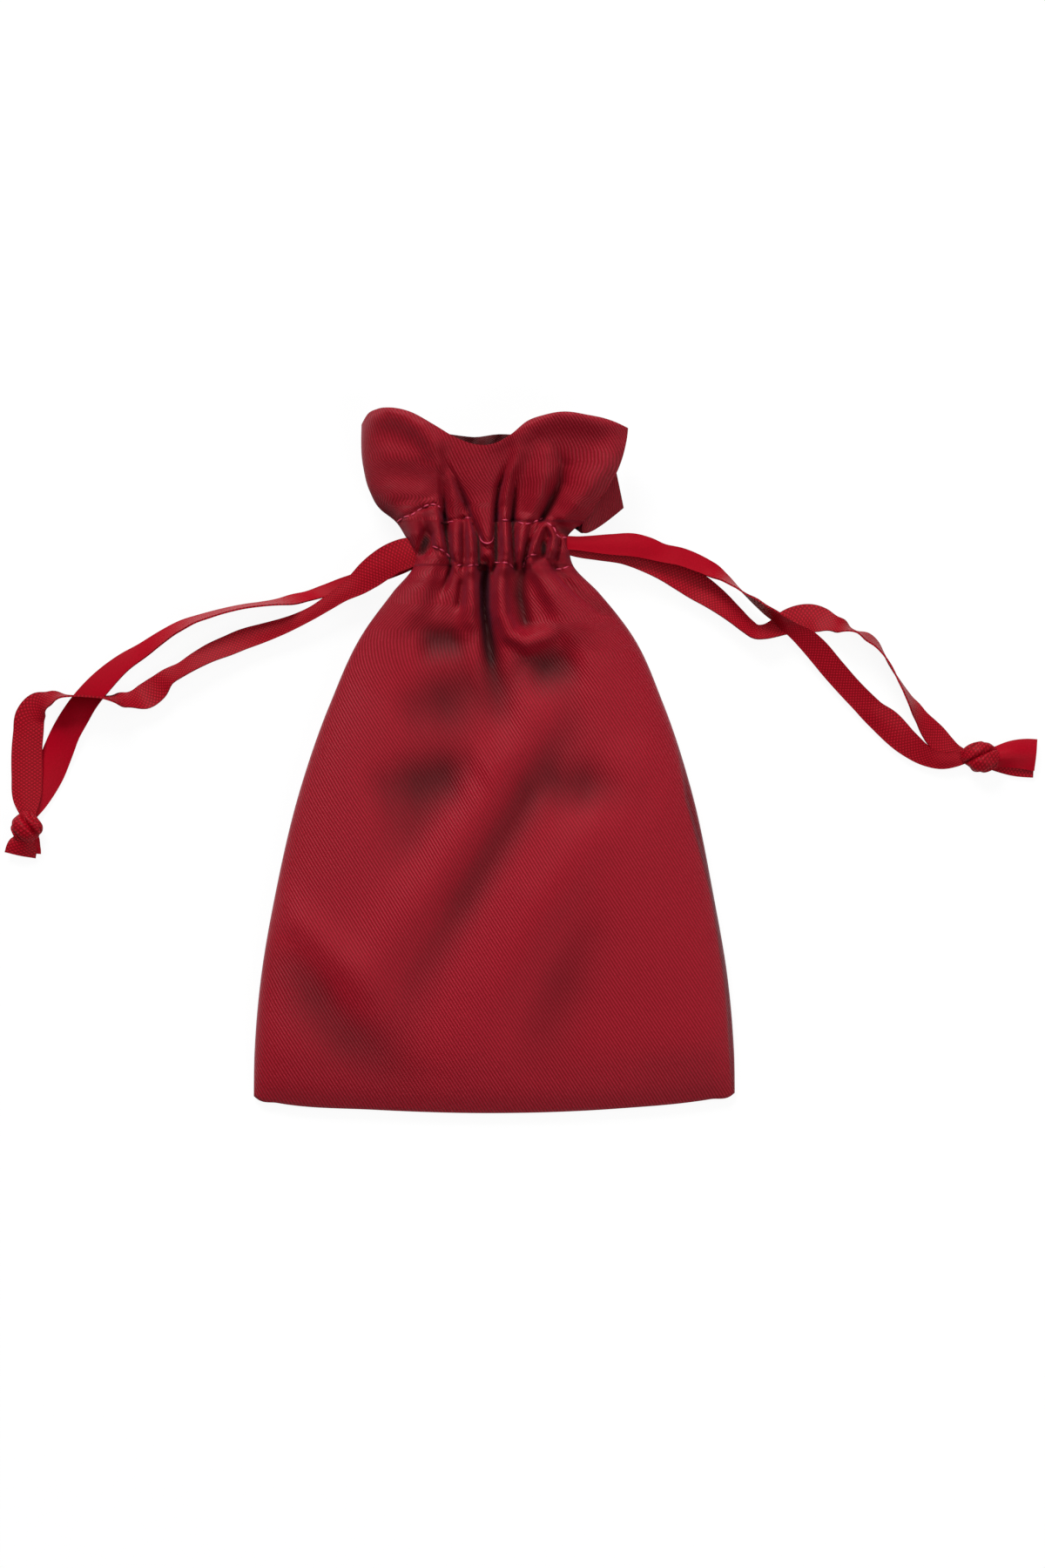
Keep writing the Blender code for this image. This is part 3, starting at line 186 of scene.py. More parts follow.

# The folds and hollows of the cloth, each along given points of the drawing: x, y, its half width,
# and how far it stands up there, or sinks. Where two half widths are given, the first is the one on the
# right of its run and the second the one on the left. A small half width makes a crease.
HEADER_FOLDS = [
    # The rolled lip of the left lobe, and the crease that it runs down into
    [(-27.4, 64, 3, 1.4, 0), (-26.4, 68.2, 3, 1.4, 1.4), (-24.7, 70.6, 3, 1.4, 2.4),
     (-21.7, 72, 3.2, 1.4, 2.8), (-18.3, 71, 3.2, 1.6, 2.9), (-14.8, 68.6, 3, 2, 2.9),
     (-12.6, 65.5, 2.8, 2.2, 2.6), (-11.6, 62.1, 2.6, 1.6, 2), (-11.3, 58.7, 2.8, 0.9, 1.6),
     (-11, 54.9, 3, 0.6, 1.2), (-10.9, 51.5, 2.6, 0.5, 0.6), (-10.8, 48, 2, 0.5, 0)],
    [(-11.6, 61, 0.6, 0.5, 0), (-11.1, 58.7, 0.6, 0.5, -0.8), (-10.5, 53.4, 0.6, 0.5, -2),
     (-10.1, 48.1, 0.5, -2.6), (-9.3, 42.4, 0.5, -2.4), (-8.9, 40, 0.5, -2), (-9.8, 37.2, 0.6, -1.2),
     (-11.4, 34, 0.8, 0)],
    # The soft swells inside the left lobe
    [(-26.6, 61, 2.6, 2.8, 0), (-22, 63, 2.8, 2.6, 0.9), (-17, 62.4, 2.6, 2.4, 0.9),
     (-13.4, 59.4, 2.6, 2.4, 0)],
    [(-25, 56, 2.8, 2.6, 0), (-20.6, 55.4, 2.8, 2.6, 1.2), (-15.4, 54.8, 2.8, 2.6, 1.3),
     (-12, 53, 2.4, 0.2)],
    # The small fold beside the cone
    [(-9.8, 62, 0.9, 1.2, 0), (-9, 58.2, 1.1, 1.2, 0.9), (-8.4, 54.2, 1.1, 1.3, 1.4),
     (-7.9, 50.6, 1.1, 1.2, 1), (-7.8, 47, 1.1, 1.2, 0)],
    # The right lip
    [(-3, 64.4, 1.4, 1, 0), (1.4, 65.9, 1.8, 1.2, 0.8), (4.1, 67.4, 2.4, 1.4, 1.5),
     (6.8, 68.7, 2.8, 1.5, 2), (9.8, 70.2, 3, 1.4, 2.5), (13.2, 71.3, 3.2, 1.3, 2.8),
     (17, 71.1, 3.2, 1.3, 2.8), (20.8, 70.2, 2.8, 1.3, 2.3), (24.6, 69.3, 2.4, 1.3, 1.5),
     (28, 67.8, 2, 1.3, 0)],
    # The roll that runs from the right lip down beside the cone
    [(6.4, 68, 1.8, 2.6, 0), (5, 63.8, 1.6, 2.2, 1.3), (3.4, 59.2, 1.1, 1.3, 1.5), (2.4, 54.2, 0.9, 1, 1.6),
     (2.1, 50.4, 0.9, 1), (2.2, 46.8, 0.9, 0)],
    [(4.6, 61, 0.5, 0.6, 0), (4.2, 57.4, 0.5, 0.6, -1), (3.8, 50, 0.5, -2.2), (4, 45, 0.5, 0.4, -2.2),
     (4.2, 41.3, 0.4, -1.8), (4.4, 38, 0.5, 0)],
    # The tongue, and the valley at its sharp right edge
    [(8.6, 66.2, 2.4, 2, 0), (10.6, 62.8, 3.4, 2, 1), (10.6, 58.8, 3.6, 1.9, 1.8),
     (9.2, 54.3, 2.6, 1.5, 1.9), (7.4, 50.4, 1.8, 1.2, 1.1), (6.4, 47.4, 1.4, 1.1, 0)],
    [(11.8, 65.6, 0.8, 1.4, 0), (14, 61, 0.7, 1.6, -0.9), (13.4, 57.6, 0.7, 1.5, -1.6),
     (11.8, 54.3, 0.7, 1.2, -2), (10.2, 51, 0.6, 0.9, -2.2), (8.9, 48, 0.5, 0.6, -1.6),
     (7.2, 44.6, 0.5, -2), (6.1, 41.4, 0.4, 0.5, -1.8), (5.8, 38.8, 0.5, 0)],
    # The broad ridge of the right lobe
    [(27.4, 67.6, 2.6, 2, 0), (25.6, 64.6, 3.2, 2.6, 1.2), (23.2, 60.6, 3.4, 2.8, 2.2),
     (20, 56.8, 3.2, 2.8, 2.8), (17, 53.2, 2.8, 2.6, 2.8), (14.4, 50.2, 2, 1.9, 1.8), (12, 47.4, 1.4, 0)],
    [(12.2, 50, 0.8, 0), (13.8, 48.4, 1, -1.8), (15.8, 46.8, 1, -2.2)],
    [(-26.2, 56, 1.4, 1.6, 0), (-24.4, 53.4, 1.4, 1.6, -1.2), (-22, 51, 1.4, -1.8), (-19.6, 49.6, 1, -0.6)],
    # The creases at both edges of the cone
    [(-11.6, 64.2, 0.7, 0), (-8.6, 59.4, 0.6, 0.5, -1), (-6, 53.6, 0.6, 0.5, -2), (-4.7, 50, 0.5, -2.4),
     (-3.3, 45.9, 0.5, 0.4, -2.6), (-3.1, 41, 0.5, 0.4, -2.6), (-3.1, 38.4, 0.5, 0)],
    [(4, 63.8, 0.7, 0), (2.1, 59.8, 0.6, -0.9), (0.8, 56.4, 0.5, 0.6, -2), (0.4, 53, 0.5, -2.4),
     (0.3, 48.1, 0.5, -2.8), (0.4, 41.3, 0.5, -2.8), (-0.4, 38.6, 0.5, -1)],
    # The pull of the upper and of the lower stitches
    [(-20, 49.6, 0.5, -0.3), (-18.4, 50.5, 0.5, -0.8), (-15.4, 52, 0.5, -0.8), (-12.2, 53, 0.5, -0.8),
     (-9.6, 49.6, 0.5, -0.8), (-5.6, 50.4, 0.5, -0.8), (-4.4, 50.3, 0.5, 0)],
    [(1.2, 49.8, 0.5, 0), (3.2, 49.8, 0.5, -0.8), (5, 49.4, 0.5, -0.8), (8, 49.4, 0.5, -0.8),
     (10, 50.2, 0.5, -0.8), (12.2, 48.4, 0.5, -0.8), (15.4, 46.4, 0.5, -0.8)],
    [(-15.4, 42.4, 0.5, 0), (-12.6, 44.3, 0.5, -0.8), (-9.4, 42.4, 0.5, -0.8), (-7.4, 40.4, 0.5, -0.8),
     (-4.6, 40.2, 0.5, -0.8), (-2.2, 40, 0.5, -0.8)],
    [(0, 41, 0.5, 0), (2.2, 41, 0.5, -0.8), (4.2, 40, 0.5, -0.8), (7, 41.8, 0.5, -0.8),
     (9.6, 42.7, 0.5, -0.8), (12.8, 39.8, 0.5, -0.8), (16, 40.6, 0.5, -0.8)],
]
# The cone between the lobes, whose tip lies over the casing
CONE = [
    (-3.6, 67, 8.4, 8, 0.4), (-3.2, 62.1, 6.6, 0.8), (-2.4, 55.7, 4, 3.6, 1.4), (-1.8, 50, 2.2, 1.9, 2.2),
    (-1.5, 46.6, 1.3, 2.5), (-1.4, 45.4, 1, 2),
]
# The pleats that cross the casing, from left to right, and the valleys between them
CASING_FOLDS = [
    [(-17.8, 54, 2.4, 1.8, 0), (-17, 50, 2.2, 2, 2.2), (-16.4, 47, 1.8, 1.6, 3.1), (-16.6, 44.6, 1.2, 2.2),
     (-16.2, 42, 0.9, 0)],
    [(-13.2, 54.6, 2.4, 1.6, 0), (-12.4, 51.6, 2.4, 1.4, 1.9), (-11.8, 48.1, 2, 1.1, 3.6),
     (-11.1, 45, 1.6, 0.9, 3.6), (-10.4, 42.6, 1.2, 0.8, 1.9), (-9.8, 40.6, 1.2, 0.8, 0)],
    [(-12.8, 49.4, 1, 0), (-13.8, 46, 1.3, 1.2, -2.4), (-14.8, 43.2, 1.3, 1, -2.6),
     (-15.2, 41.6, 1.3, 1, 0)],
    [(-8, 50.8, 1.1, 1.2, 0), (-7.9, 47, 1.2, 2.9), (-7.8, 43.4, 1.2, 1.1, 3), (-7.8, 40.6, 1, 1.7),
     (-8, 38.6, 1, 0)],
    [(-5.4, 53, 0.7, 0), (-4.9, 49.8, 0.8, 1.9), (-4.8, 46.8, 1, 0.9, 3.7), (-4.6, 43.4, 1, 0.9, 3.8),
     (-4.6, 40.4, 1, 0.9, 2.4), (-4.6, 37.6, 1, 0.9, 0)],
    [(-1.5, 44.6, 1, 0), (-1.4, 43, 1.1, 1.9), (-1.4, 41, 1.1, 1.4), (-1.4, 39.6, 1.1, 0)],
    [(2.2, 52.6, 0.8, 0), (2.3, 49.4, 0.9, 1.9), (2.4, 46.4, 1, 3.8), (2.5, 43.4, 1, 4),
     (2.4, 40.8, 1, 2.6), (2.2, 38, 1, 0)],
    [(6.4, 51.4, 1.1, 1.2, 0), (6, 48.8, 1.2, 2.2), (5.7, 46.4, 1.1, 3.5), (5.4, 43.6, 0.9, 0.8, 3.5),
     (5.1, 41, 0.6, 1.9), (5.1, 39.4, 0.6, 0)],
    [(10, 50.8, 1, 0), (9.4, 48.6, 1.1, 2.2), (8.6, 46.2, 1.1, 3.4), (7.9, 43.8, 0.9, 1, 3.4),
     (7.2, 41.6, 0.7, 0.9, 1.9), (6.8, 39.8, 0.7, 0.9, 0)],
    [(10.6, 50.8, 0.7, 0), (11.6, 48.4, 0.8, 2.4), (12.4, 46.4, 0.8, 0.9, 3.4), (12.1, 44.2, 0.8, 1, 3.4),
     (11.2, 42.2, 1, 1.9), (10.4, 40.4, 1, 0)],
    [(10.2, 45, 0.6, -1.9), (10.3, 43.4, 0.6, -2.9), (10.4, 42.8, 0.6, -1.7)],
    [(14.4, 48, 1, 1.2, 0), (14.6, 45.6, 1, 1.2, 1.7), (14.4, 43.2, 1.2, 1.4), (14, 40.6, 1.2, 0.2)],
    [(13.6, 46.6, 0.5, 0), (13.4, 44.6, 0.5, -1.2), (13, 42.4, 0.5, -1), (12.6, 41.2, 0.5, 0)],
]
# The folds that run from the pleats down into the body
BODY_FOLDS = [
    [(-12, 45, 1.8, 1.6, 0), (-13, 41.6, 2.6, 2.2, 2.6), (-14.4, 37.8, 4, 2.8, 3.2),
     (-17.2, 32, 6, 3.6, 2.6), (-21.6, 25, 8, 5.4, 1.3), (-27, 15, 9, 8, 0)],
    [(-7.4, 42.4, 1, 1.1, 0), (-7.8, 38.4, 1.2, 1.4), (-8.8, 34.4, 1.5, 1.4, 1), (-10.2, 30, 1.8, 1.6, 0)],
    [(-4.8, 42, 1.3, 1, 0), (-4.9, 39, 1.5, 1.1, 2.6), (-4.7, 35.4, 1.7, 1.3, 3.3), (-4.7, 32, 1.9, 1.5, 3),
     (-5.2, 29, 2, 1.8, 1.8), (-6.4, 25, 2.2, 0)],
    [(1.8, 42.4, 1.2, 0), (1.6, 39.4, 1.3, 2.8), (1.4, 35, 1.5, 3.3), (1.8, 30.2, 1.7, 1.5, 3.1),
     (3.4, 26.4, 1.9, 1.7, 2.7), (6.6, 24.6, 1.9, 1.8, 2.5), (10.2, 25.8, 1.9, 1.8), (14.4, 29.4, 2, 0)],
    [(7, 43, 1.2, 0), (9.2, 39.2, 1.8, 2, 2.6), (12.2, 34.8, 2.6, 3, 3.1), (16, 29.6, 3.8, 4, 2.6),
     (20.6, 22.4, 5.2, 5.6, 1.5), (28, 6, 7, 8, 0)],
    [(13.4, 42.4, 1.2, 0), (15.6, 38.8, 1.6, 1.8, 1), (20, 34.6, 2, 2.2, 0.6), (24, 31.4, 2, 2.2, 0)],
]

# The slack body's soft bumps and hollows, in the same terms
BODY_WAVES = [
    [(-1.8, 41, 0.8, 0.9, -3), (-2.1, 36, 0.9, 1, -4.6), (-2.1, 31.4, 0.9, 1.1, -4.4),
     (-1.4, 26.4, 1.2, 1.4, -3.2), (-0.4, 19, 2.2, 2.4, -1.9), (1.6, 11, 3.2, 3.4, -1), (4.6, 2, 4, 0)],
    [(-18.6, 29.4, 3.4, 2.2, 0), (-16, 27, 4.2, 2.6, -1), (-12.6, 25.4, 4.6, 2.8, -1.8),
     (-9, 25.4, 4.4, 2.8, -1.8), (-6.4, 27, 3.6, 2.4, -0.8), (-5, 29, 3, 2, 0)],
    [(-6.6, 36.6, 0.8, -0.9), (-7, 32.4, 1, 0.9, -1.2)],
    [(-22, 10, 5, 4, 0), (-16.6, 11.2, 7, 4.8, -0.9), (-10.6, 13, 8, 5, -1.5), (-5.4, 15.6, 7, 4.6, -1.2),
     (-1, 18, 5, 4, 0)],
    [(5.6, 39, 1.3, 1.2, -1.5), (5.4, 34, 1.5, 1.3, -2), (6.4, 29, 1.7, 1.4, -1.8)],
    [(3.4, 22.4, 3.4, 2.2, 0), (6.4, 20.6, 5, 2.8, -1.1), (10.4, 19.8, 6, 3.2, -1.9),
     (14.6, 21, 6, 3.2, -1.8), (18.2, 23.8, 5, 2.8, -0.9), (20.6, 27, 4, 2.4, 0)],
    [(12.3, 39.5, 0.5, 1.2, -0.8), (14.4, 37, 0.5, 1.6, -1.4), (17.6, 33.8, 0.5, 2.2, -1.4),
     (21.7, 31, 0.6, 2.6, -1), (24.8, 30.3, 0.8, 2.6, -0.4)],
    [(13, 18, 4, 4.4, 0), (7.6, 8, 5, 5.6, 0.9), (-1.4, -8.2, 6, 6.4, 1.7), (-15.8, -31.6, 6.4, 7, 1.7),
     (-24.8, -44.2, 6.4, 7, 1.1), (-34, -58, 7, 0)],
    [(19, 14, 4.4, 0), (13, 4, 4.6, 4.4, -1), (6.6, -6, 4.6, 4.4, -2), (-7.4, -29, 4.8, 4.6, -2),
     (-18, -46, 6, 5.6, -1), (-26, -62, 6, 0)],
    [(32, 6, 6, 0), (27.5, -4.6, 6, 6.4, 1.2), (9.5, -29.8, 6.4, 1.8), (-4, -54, 7, 0.9), (-10, -66, 7, 0)],
    [(-27.5, -8, 6, 3.6, 0), (-22, -6, 8, 4.6, -1), (-16, -4.4, 9, 5.2, -1.7), (-10, -3, 9, 5.2, -1.8),
     (-5.5, -1.6, 8, 4.6, -1), (-2, 0, 6, 3.6, 0)],
    [(-26, -14, 8, 5, 0), (-17, -16, 8, 5, -0.7), (-9, -12, 6, 5, 0)],
    [(9, -6, 5, 3.6, 0), (13.5, -5.4, 7, 4.4, -1), (19, -5.2, 8.5, 5, -1.7), (25, -6.4, 8.5, 5, -1.6),
     (30, -8, 7, 4.6, -0.8), (34, -10, 6, 4, 0)],
    [(-48, -24, 3.4, 0), (-41, -34, 4, 1), (-30, -43, 4.2, 1), (-18, -56, 5, 0)],
    [(-44, -36, 5, 4.4, 0), (-40.4, -42.4, 6, 5, -0.9), (-35.6, -49, 6.6, 5.6, -1.4),
     (-29.4, -57, 6.6, 5.8, -1.3), (-22, -63, 6, 5.6, -0.7), (-12, -69, 5, 0)],
    [(21, -26, 5, 0), (18, -36, 5.8, 6, -0.7), (14, -46, 6.4, -1), (10, -56, 6.4, -0.7), (6, -66, 6, 0)],
    [(34, -66, 4, -0.3), (44, -66, 4, -0.5)],
    # The right side seam, beyond which the cloth lies lower
    [(36.8, 10, 0.3, 1.6, 0), (37.9, 4.4, 0.3, 2.2, -0.9), (40, -8.5, 0.3, 2.4, -1.3),
     (45.1, -27.6, 0.3, 2.4, -1.5), (48.1, -47.3, 0.3, 2.2, -1.4), (49.4, -67.9, 0.3, 1.6, -0.8)],
]


def soft_fold(points, x, y, fullness=2.0):
    """A fold or hollow along the points. With more fullness its top is flatter and its edges are steeper."""
    points = [point if len(point) == 5 else (*point[:3], *point[2:]) for point in points]
    x, y = np.broadcast_arrays(np.asarray(x, float), np.asarray(y, float))
    gaps, sides, values = [], [], []
    for start, end in zip(points[:-1], points[1:]):
        run = np.array(end[:2]) - np.array(start[:2])
        along = ((x - start[0]) * run[0] + (y - start[1]) * run[1]) / (run @ run)
        along = np.clip(along, 0, 1)
        gap = np.hypot(x - start[0] - along * run[0], y - start[1] - along * run[1])
        turn = (run[0] * (y - start[1]) - run[1] * (x - start[0])) / np.sqrt(run @ run)
        gaps.append(gap)
        sides.append(0.5 + 0.5 * np.clip(turn / np.maximum(gap, 1e-6), -1, 1))
        values.append(np.array(start[2:]) + along[..., None] * (np.array(end[2:]) - np.array(start[2:])))
    gaps = np.array(gaps)
    nearest = gaps.min(axis=0)
    # The runs near a bend share in it, so that no seam shows where one takes over from the next.
    share = np.exp(-(gaps - nearest) / 0.35)
    share /= share.sum(axis=0)
    side = (share * np.array(sides)).sum(axis=0)
    right, left, height = np.moveaxis((share[..., None] * np.array(values)).sum(axis=0), -1, 0)
    half_width = right + (left - right) * side
    return height * np.exp(-((nearest / half_width) ** fullness))


side_height = smooth_curve(
    [(-72.8, 0.9), (-66, 1.2), (-40, 1.9), (0, 3), (25, 4.6), (40.8, 6), (49.4, 6), (60, 6.4), (72.8, 6.6)]
)
crown_height = smooth_curve(
    [(-72.8, 1.9), (-70, 3.6), (-64, 5.6), (-50, 7.2), (-30, 8.4), (-10, 9.2), (15, 9.7), (30, 9.5),
     (40, 8.9), (49.4, 8.6), (54, 9.4), (60, 11.4), (66, 13.2), (73, 14.2)]
)
crown_power = smooth_curve([(-72.8, 16), (-40, 8), (0, 5), (25, 4), (41, 7), (49.4, 7), (60, 5), (73, 5)])
gathered = smooth_curve([(16, 0), (24, 0.25), (32, 0.7), (40.8, 1), (49.4, 1), (60, 0.8), (72.8, 0.45)])


def crown(share, power):
    """From 0 at a side seam to 1 over the middle."""
    return np.sqrt(np.clip(1 - np.abs(2 * share - 1) ** power, 0, 1))


def all_folds(x, y):
    """How far the folds lift or sink the front's cloth."""
    rise = np.zeros(np.shape(x))
    groups = ((HEADER_FOLDS + BODY_WAVES, 2.0), (BODY_FOLDS, 2.6), (CASING_FOLDS + [CONE], 3.0))
    for group, fullness in groups:
        for points in group:
            rise = rise + soft_fold(points, x, y, fullness)
    return rise


def front_height(share, x, y):
    """The height of the front's outside above the table."""
    over = crown(share, crown_power(y))
    height = crown_height(y) + all_folds(x, y)
    in_casing = np.clip(y - CASING_BOTTOM + 1, 0, 1) * np.clip(CASING_TOP + 1 - y, 0, 1)
    floor = LEAST_HEIGHT + in_casing * (NECK_MIDDLE + PLEAT_FLOOR - LEAST_HEIGHT)
    height = np.maximum(height, np.minimum(floor, crown_height(y)))
    side = side_height(y)
    return side + (height - side) * over


# The back's regular gathers, and the share of the width over which the cloth settles beside a seam
BACK_GATHERS, GATHER_HEIGHT, NEAR_SEAM = 9, 1.4, 0.12


def back_height(share, y):
    """The height of the back's outside: flat on the table, with regular gathers near the neck."""
    over = crown(share, crown_power(y))
    pleats = GATHER_HEIGHT * (1 + np.cos(2 * math.pi * (share - 0.5) * BACK_GATHERS))
    settled = np.clip((1 - np.abs(2 * share - 1)) / NEAR_SEAM, 0, 1)
    return (1 - over) * side_height(y) + over * gathered(y) * pleats * settled


def columns(count):
    """Shares of the width, closer together near both sides."""
    even = np.linspace(0, 1, count + 1)
    crowded = 0.5 - 0.5 * np.cos(math.pi * even)
    return 0.55 * even + 0.45 * crowded


def back_columns():
    """The back's shares of the width, from right to left, without the seams."""
    return columns(BACK_COLUMNS)[::-1][1:-1]


# The edges of the cloth, from the left seam to the right: the front's lip, the back's and the bottom fold
front_lip = smooth_curve(
    [(0, 69.6), (0.02, 71.4), (0.06, 72.6), (0.11, 72.8), (0.18, 72), (0.27, 69.4), (0.36, 66.6),
     (0.43, 65.3), (0.5, 65.4), (0.56, 67.2), (0.62, 70), (0.68, 71.2), (0.76, 71.9), (0.84, 71.3),
     (0.92, 70.4), (0.96, 69.6), (1, 68.6)]
)
back_lip = smooth_curve(
    [(0, 69.6), (0.12, 69), (0.3, 68.2), (0.42, 67.3), (0.55, 67.9), (0.7, 66.2), (0.85, 60.5), (1, 52.5)]
)
bottom_fold = smooth_curve(
    [(0, -69.3), (0.006, -69.8), (0.05, -70.7), (0.25, -72.1), (0.5, -72.8), (0.75, -71.9), (0.95, -69.9),
     (0.994, -69.1), (1, -68.6)]
)

# The right side seam of the header lies lower than the front's right edge, which folds over it at this
# share of the width and bows to the left, up and down by this much.
FOLD_OVER, FOLD_BOW = 0.93, (3.0, 0.6, 1.2)
RIGHT_SEAM_TOP, RIGHT_SEAM_DIP = (26.8, 52.5, 4.2), (16.6, 43.8, 6.0)
BACK_LIP_HEIGHT = 0.4

# How finely the cloth is cut up. The inside keeps every fourth row.
FRONT_COLUMNS, BACK_COLUMNS = 204, 52
HEADER_ROWS, CASING_ROWS, BODY_ROWS, INNER_STEP = 72, 30, 150, 4
CLOTH, SEAM_ALLOWANCE = 0.3, 0.9
# The gap that the drawn neck leaves: its left and right end, and half its height
NECK_LEFT, NECK_RIGHT, NECK_HALF_GAP = -14.65, 13.25, 1.0


def header_section(rise):
    """One closed section of the header, left to right over the front and back again under it."""
    shares = columns(FRONT_COLUMNS)
    fold_over = 1 - (1 - FOLD_OVER) * min(1, rise / 0.25)
    within = np.minimum(shares / fold_over, 1)
    y = CASING_TOP + rise * (front_lip(within) - CASING_TOP)
    x = left_side(y) + within * (right_side(y) - left_side(y))
    # Towards its right edge the front keeps more of its height, because it folds over there.
    lifted = np.where(within > 0.5, 0.5 + (within - 0.5) * (1 - 0.2 * min(1, 0.3 + 2.5 * rise)), within)
    z = front_height(lifted, x, y)
    seam_foot = np.array([float(right_side(CASING_TOP)), CASING_TOP, float(side_height(CASING_TOP))])
    seam = (1 - rise) ** 2 * seam_foot + rise**2 * np.array(RIGHT_SEAM_TOP)
    seam = seam + 2 * rise * (1 - rise) * np.array(RIGHT_SEAM_DIP)
    turn = np.clip((shares - fold_over) / max(1 - fold_over, 1e-9), 0, 1)
    edge = np.array([x[-1], y[-1], z[-1]])
    bow = np.sin(math.pi * turn**0.7)
    reach = turn**1.6
    x = np.where(turn > 0, edge[0] + reach * (seam[0] - edge[0]) - FOLD_BOW[0] * min(1, 3 * rise) * bow, x)
    y = np.where(turn > 0, edge[1] + reach * (seam[1] - edge[1]) + FOLD_BOW[1] * rise * bow, y)
    z = np.where(turn > 0, edge[2] + np.sqrt(turn) * (seam[2] - edge[2]) - FOLD_BOW[2] * rise * bow, z)
    front = np.stack([x, y, z], axis=1)
    share = back_columns()
    x = front[0, 0] + share * (seam[0] - front[0, 0])
    y = CASING_TOP + rise * (back_lip(share) - CASING_TOP)
    y = y + (seam[1] - CASING_TOP - rise * (float(back_lip(1.0)) - CASING_TOP)) * share**5
    level = np.full(len(share), CASING_TOP + rise * 20)
    lift = BACK_LIP_HEIGHT * rise
    z = back_height(share, level) + lift
    z = z + (seam[2] - float(side_height(level[0])) - lift) * share**12
    return np.concatenate([front, np.stack([x, y, z], axis=1)])


def level_section(level, fall=0.0):
    """One closed section of the casing or body. Its fall is 0 at the casing and 1 at the bottom fold."""
    halves = []
    for shares, is_front in ((columns(FRONT_COLUMNS), True), (back_columns(), False)):
        y = level + fall * (bottom_fold(shares) - BODY_BOTTOM)
        x = left_side(y) + shares * (right_side(y) - left_side(y))
        levels = np.full(len(shares), level)
        z = front_height(shares, x, levels) if is_front else back_height(shares, levels)
        halves.append(np.stack([x, y, z], axis=1))
    return np.concatenate(halves)


def pulled_in(section, side, wall):
    """The inner side of a section: in from both seams by the side's width, and in by one wall elsewhere."""
    inner = section.copy()
    shares = columns(FRONT_COLUMNS)
    back_shares = back_columns()
    every = np.concatenate([shares, back_shares])
    inner[:, 0] += side * np.clip(1 - every / NEAR_SEAM, 0, 1) ** 2
    inner[:, 0] -= side * np.clip(1 - (1 - every) / NEAR_SEAM, 0, 1) ** 2
    count = FRONT_COLUMNS + 1
    front, back = section[:count], section[count:]
    back_heights = np.r_[front[0, 2], back[::-1, 2], front[-1, 2]]
    under = np.interp(shares, np.r_[0, back_shares[::-1], 1], back_heights)
    above = np.interp(back_shares, shares, front[:, 2])
    inner[:count, 2] = np.maximum(front[:, 2] - wall, (front[:, 2] + under) / 2 + 0.05)
    inner[0, 2] = front[0, 2]
    inner[count - 1, 2] = front[-1, 2]
    inner[count:, 2] = np.minimum(back[:, 2] + wall, (back[:, 2] + above) / 2 - 0.05)
    return inner


def lining_section(level, half_height, inset):
    """One section of the lining in the casing, a flat smooth loop round the gap that the neck leaves."""
    shares = np.concatenate([columns(FRONT_COLUMNS), back_columns()])
    upper = np.concatenate([np.ones(FRONT_COLUMNS + 1), -np.ones(BACK_COLUMNS - 1)])
    left = NECK_LEFT + inset
    x = left + shares * (NECK_RIGHT - inset - left)
    z = NECK_MIDDLE + upper * half_height * (1 - np.abs(2 * shares - 1) ** 6) ** 0.5
    return np.stack([x, np.full(len(x), float(level)), z], axis=1)


def skin_faces(first, rows, ring, hole=None):
    """Quads of a skin of rows round a ring, leaving out the quads of a hole."""
    faces = []
    for row in range(rows - 1):
        for column in range(ring):
            if hole and hole(row, column):
                continue
            beside = (column + 1) % ring
            a = first + row * ring + column
            b = first + row * ring + beside
            faces.append((a, a + ring, b + ring, b))
    return faces


def zipped(front, back):
    """Triangles between the front and back edge of an open end, which both run from one seam to the other."""
    faces = []
    i = j = 0
    front_end, back_end = len(front) - 1, len(back) - 1
    while i < front_end or j < back_end:
        if j == back_end or (i < front_end and (i + 1) / front_end <= (j + 1) / back_end):
            corners = (front[i], front[i + 1], back[j])
            i += 1
        else:
            corners = (front[i], back[j + 1], back[j])
            j += 1
        if len(set(corners)) == 3:
            faces.append(corners)
    return faces


def smooth_piece(name, points, faces, sharp=60.0):
    """A mesh object from points in millimetres, shaded smooth, with its faces turned outwards."""
    mesh = bpy.data.meshes.new(name)
    mesh.from_pydata((np.asarray(points, float) * MM).tolist(), [], faces)
    shape = bmesh.new()
    shape.from_mesh(mesh)
    bmesh.ops.recalc_face_normals(shape, faces=shape.faces)
    shape.to_mesh(mesh)
    shape.free()
    mesh.shade_smooth()
    mesh.set_sharp_from_angle(angle=math.radians(sharp))
    piece = bpy.data.objects.new(name, mesh)
    bpy.context.scene.collection.objects.link(piece)
    return piece


ring = FRONT_COLUMNS + BACK_COLUMNS
header = [header_section(rise) for rise in np.linspace(1, 0, HEADER_ROWS) ** 1.15]
casing_levels = np.linspace(CASING_TOP, CASING_BOTTOM, CASING_ROWS + 2)[1:-1]
casing = [level_section(level) for level in casing_levels]
# The body's rows lie closer together at its top and its bottom.
falls = np.linspace(0, 1, BODY_ROWS)
falls = 0.45 * falls**1.9 + 0.55 * (1 - (1 - falls) ** 1.15)
body = [level_section(CASING_BOTTOM + fall * (BODY_BOTTOM - CASING_BOTTOM), fall) for fall in falls]
outer = header + casing + body
first_casing = len(header)

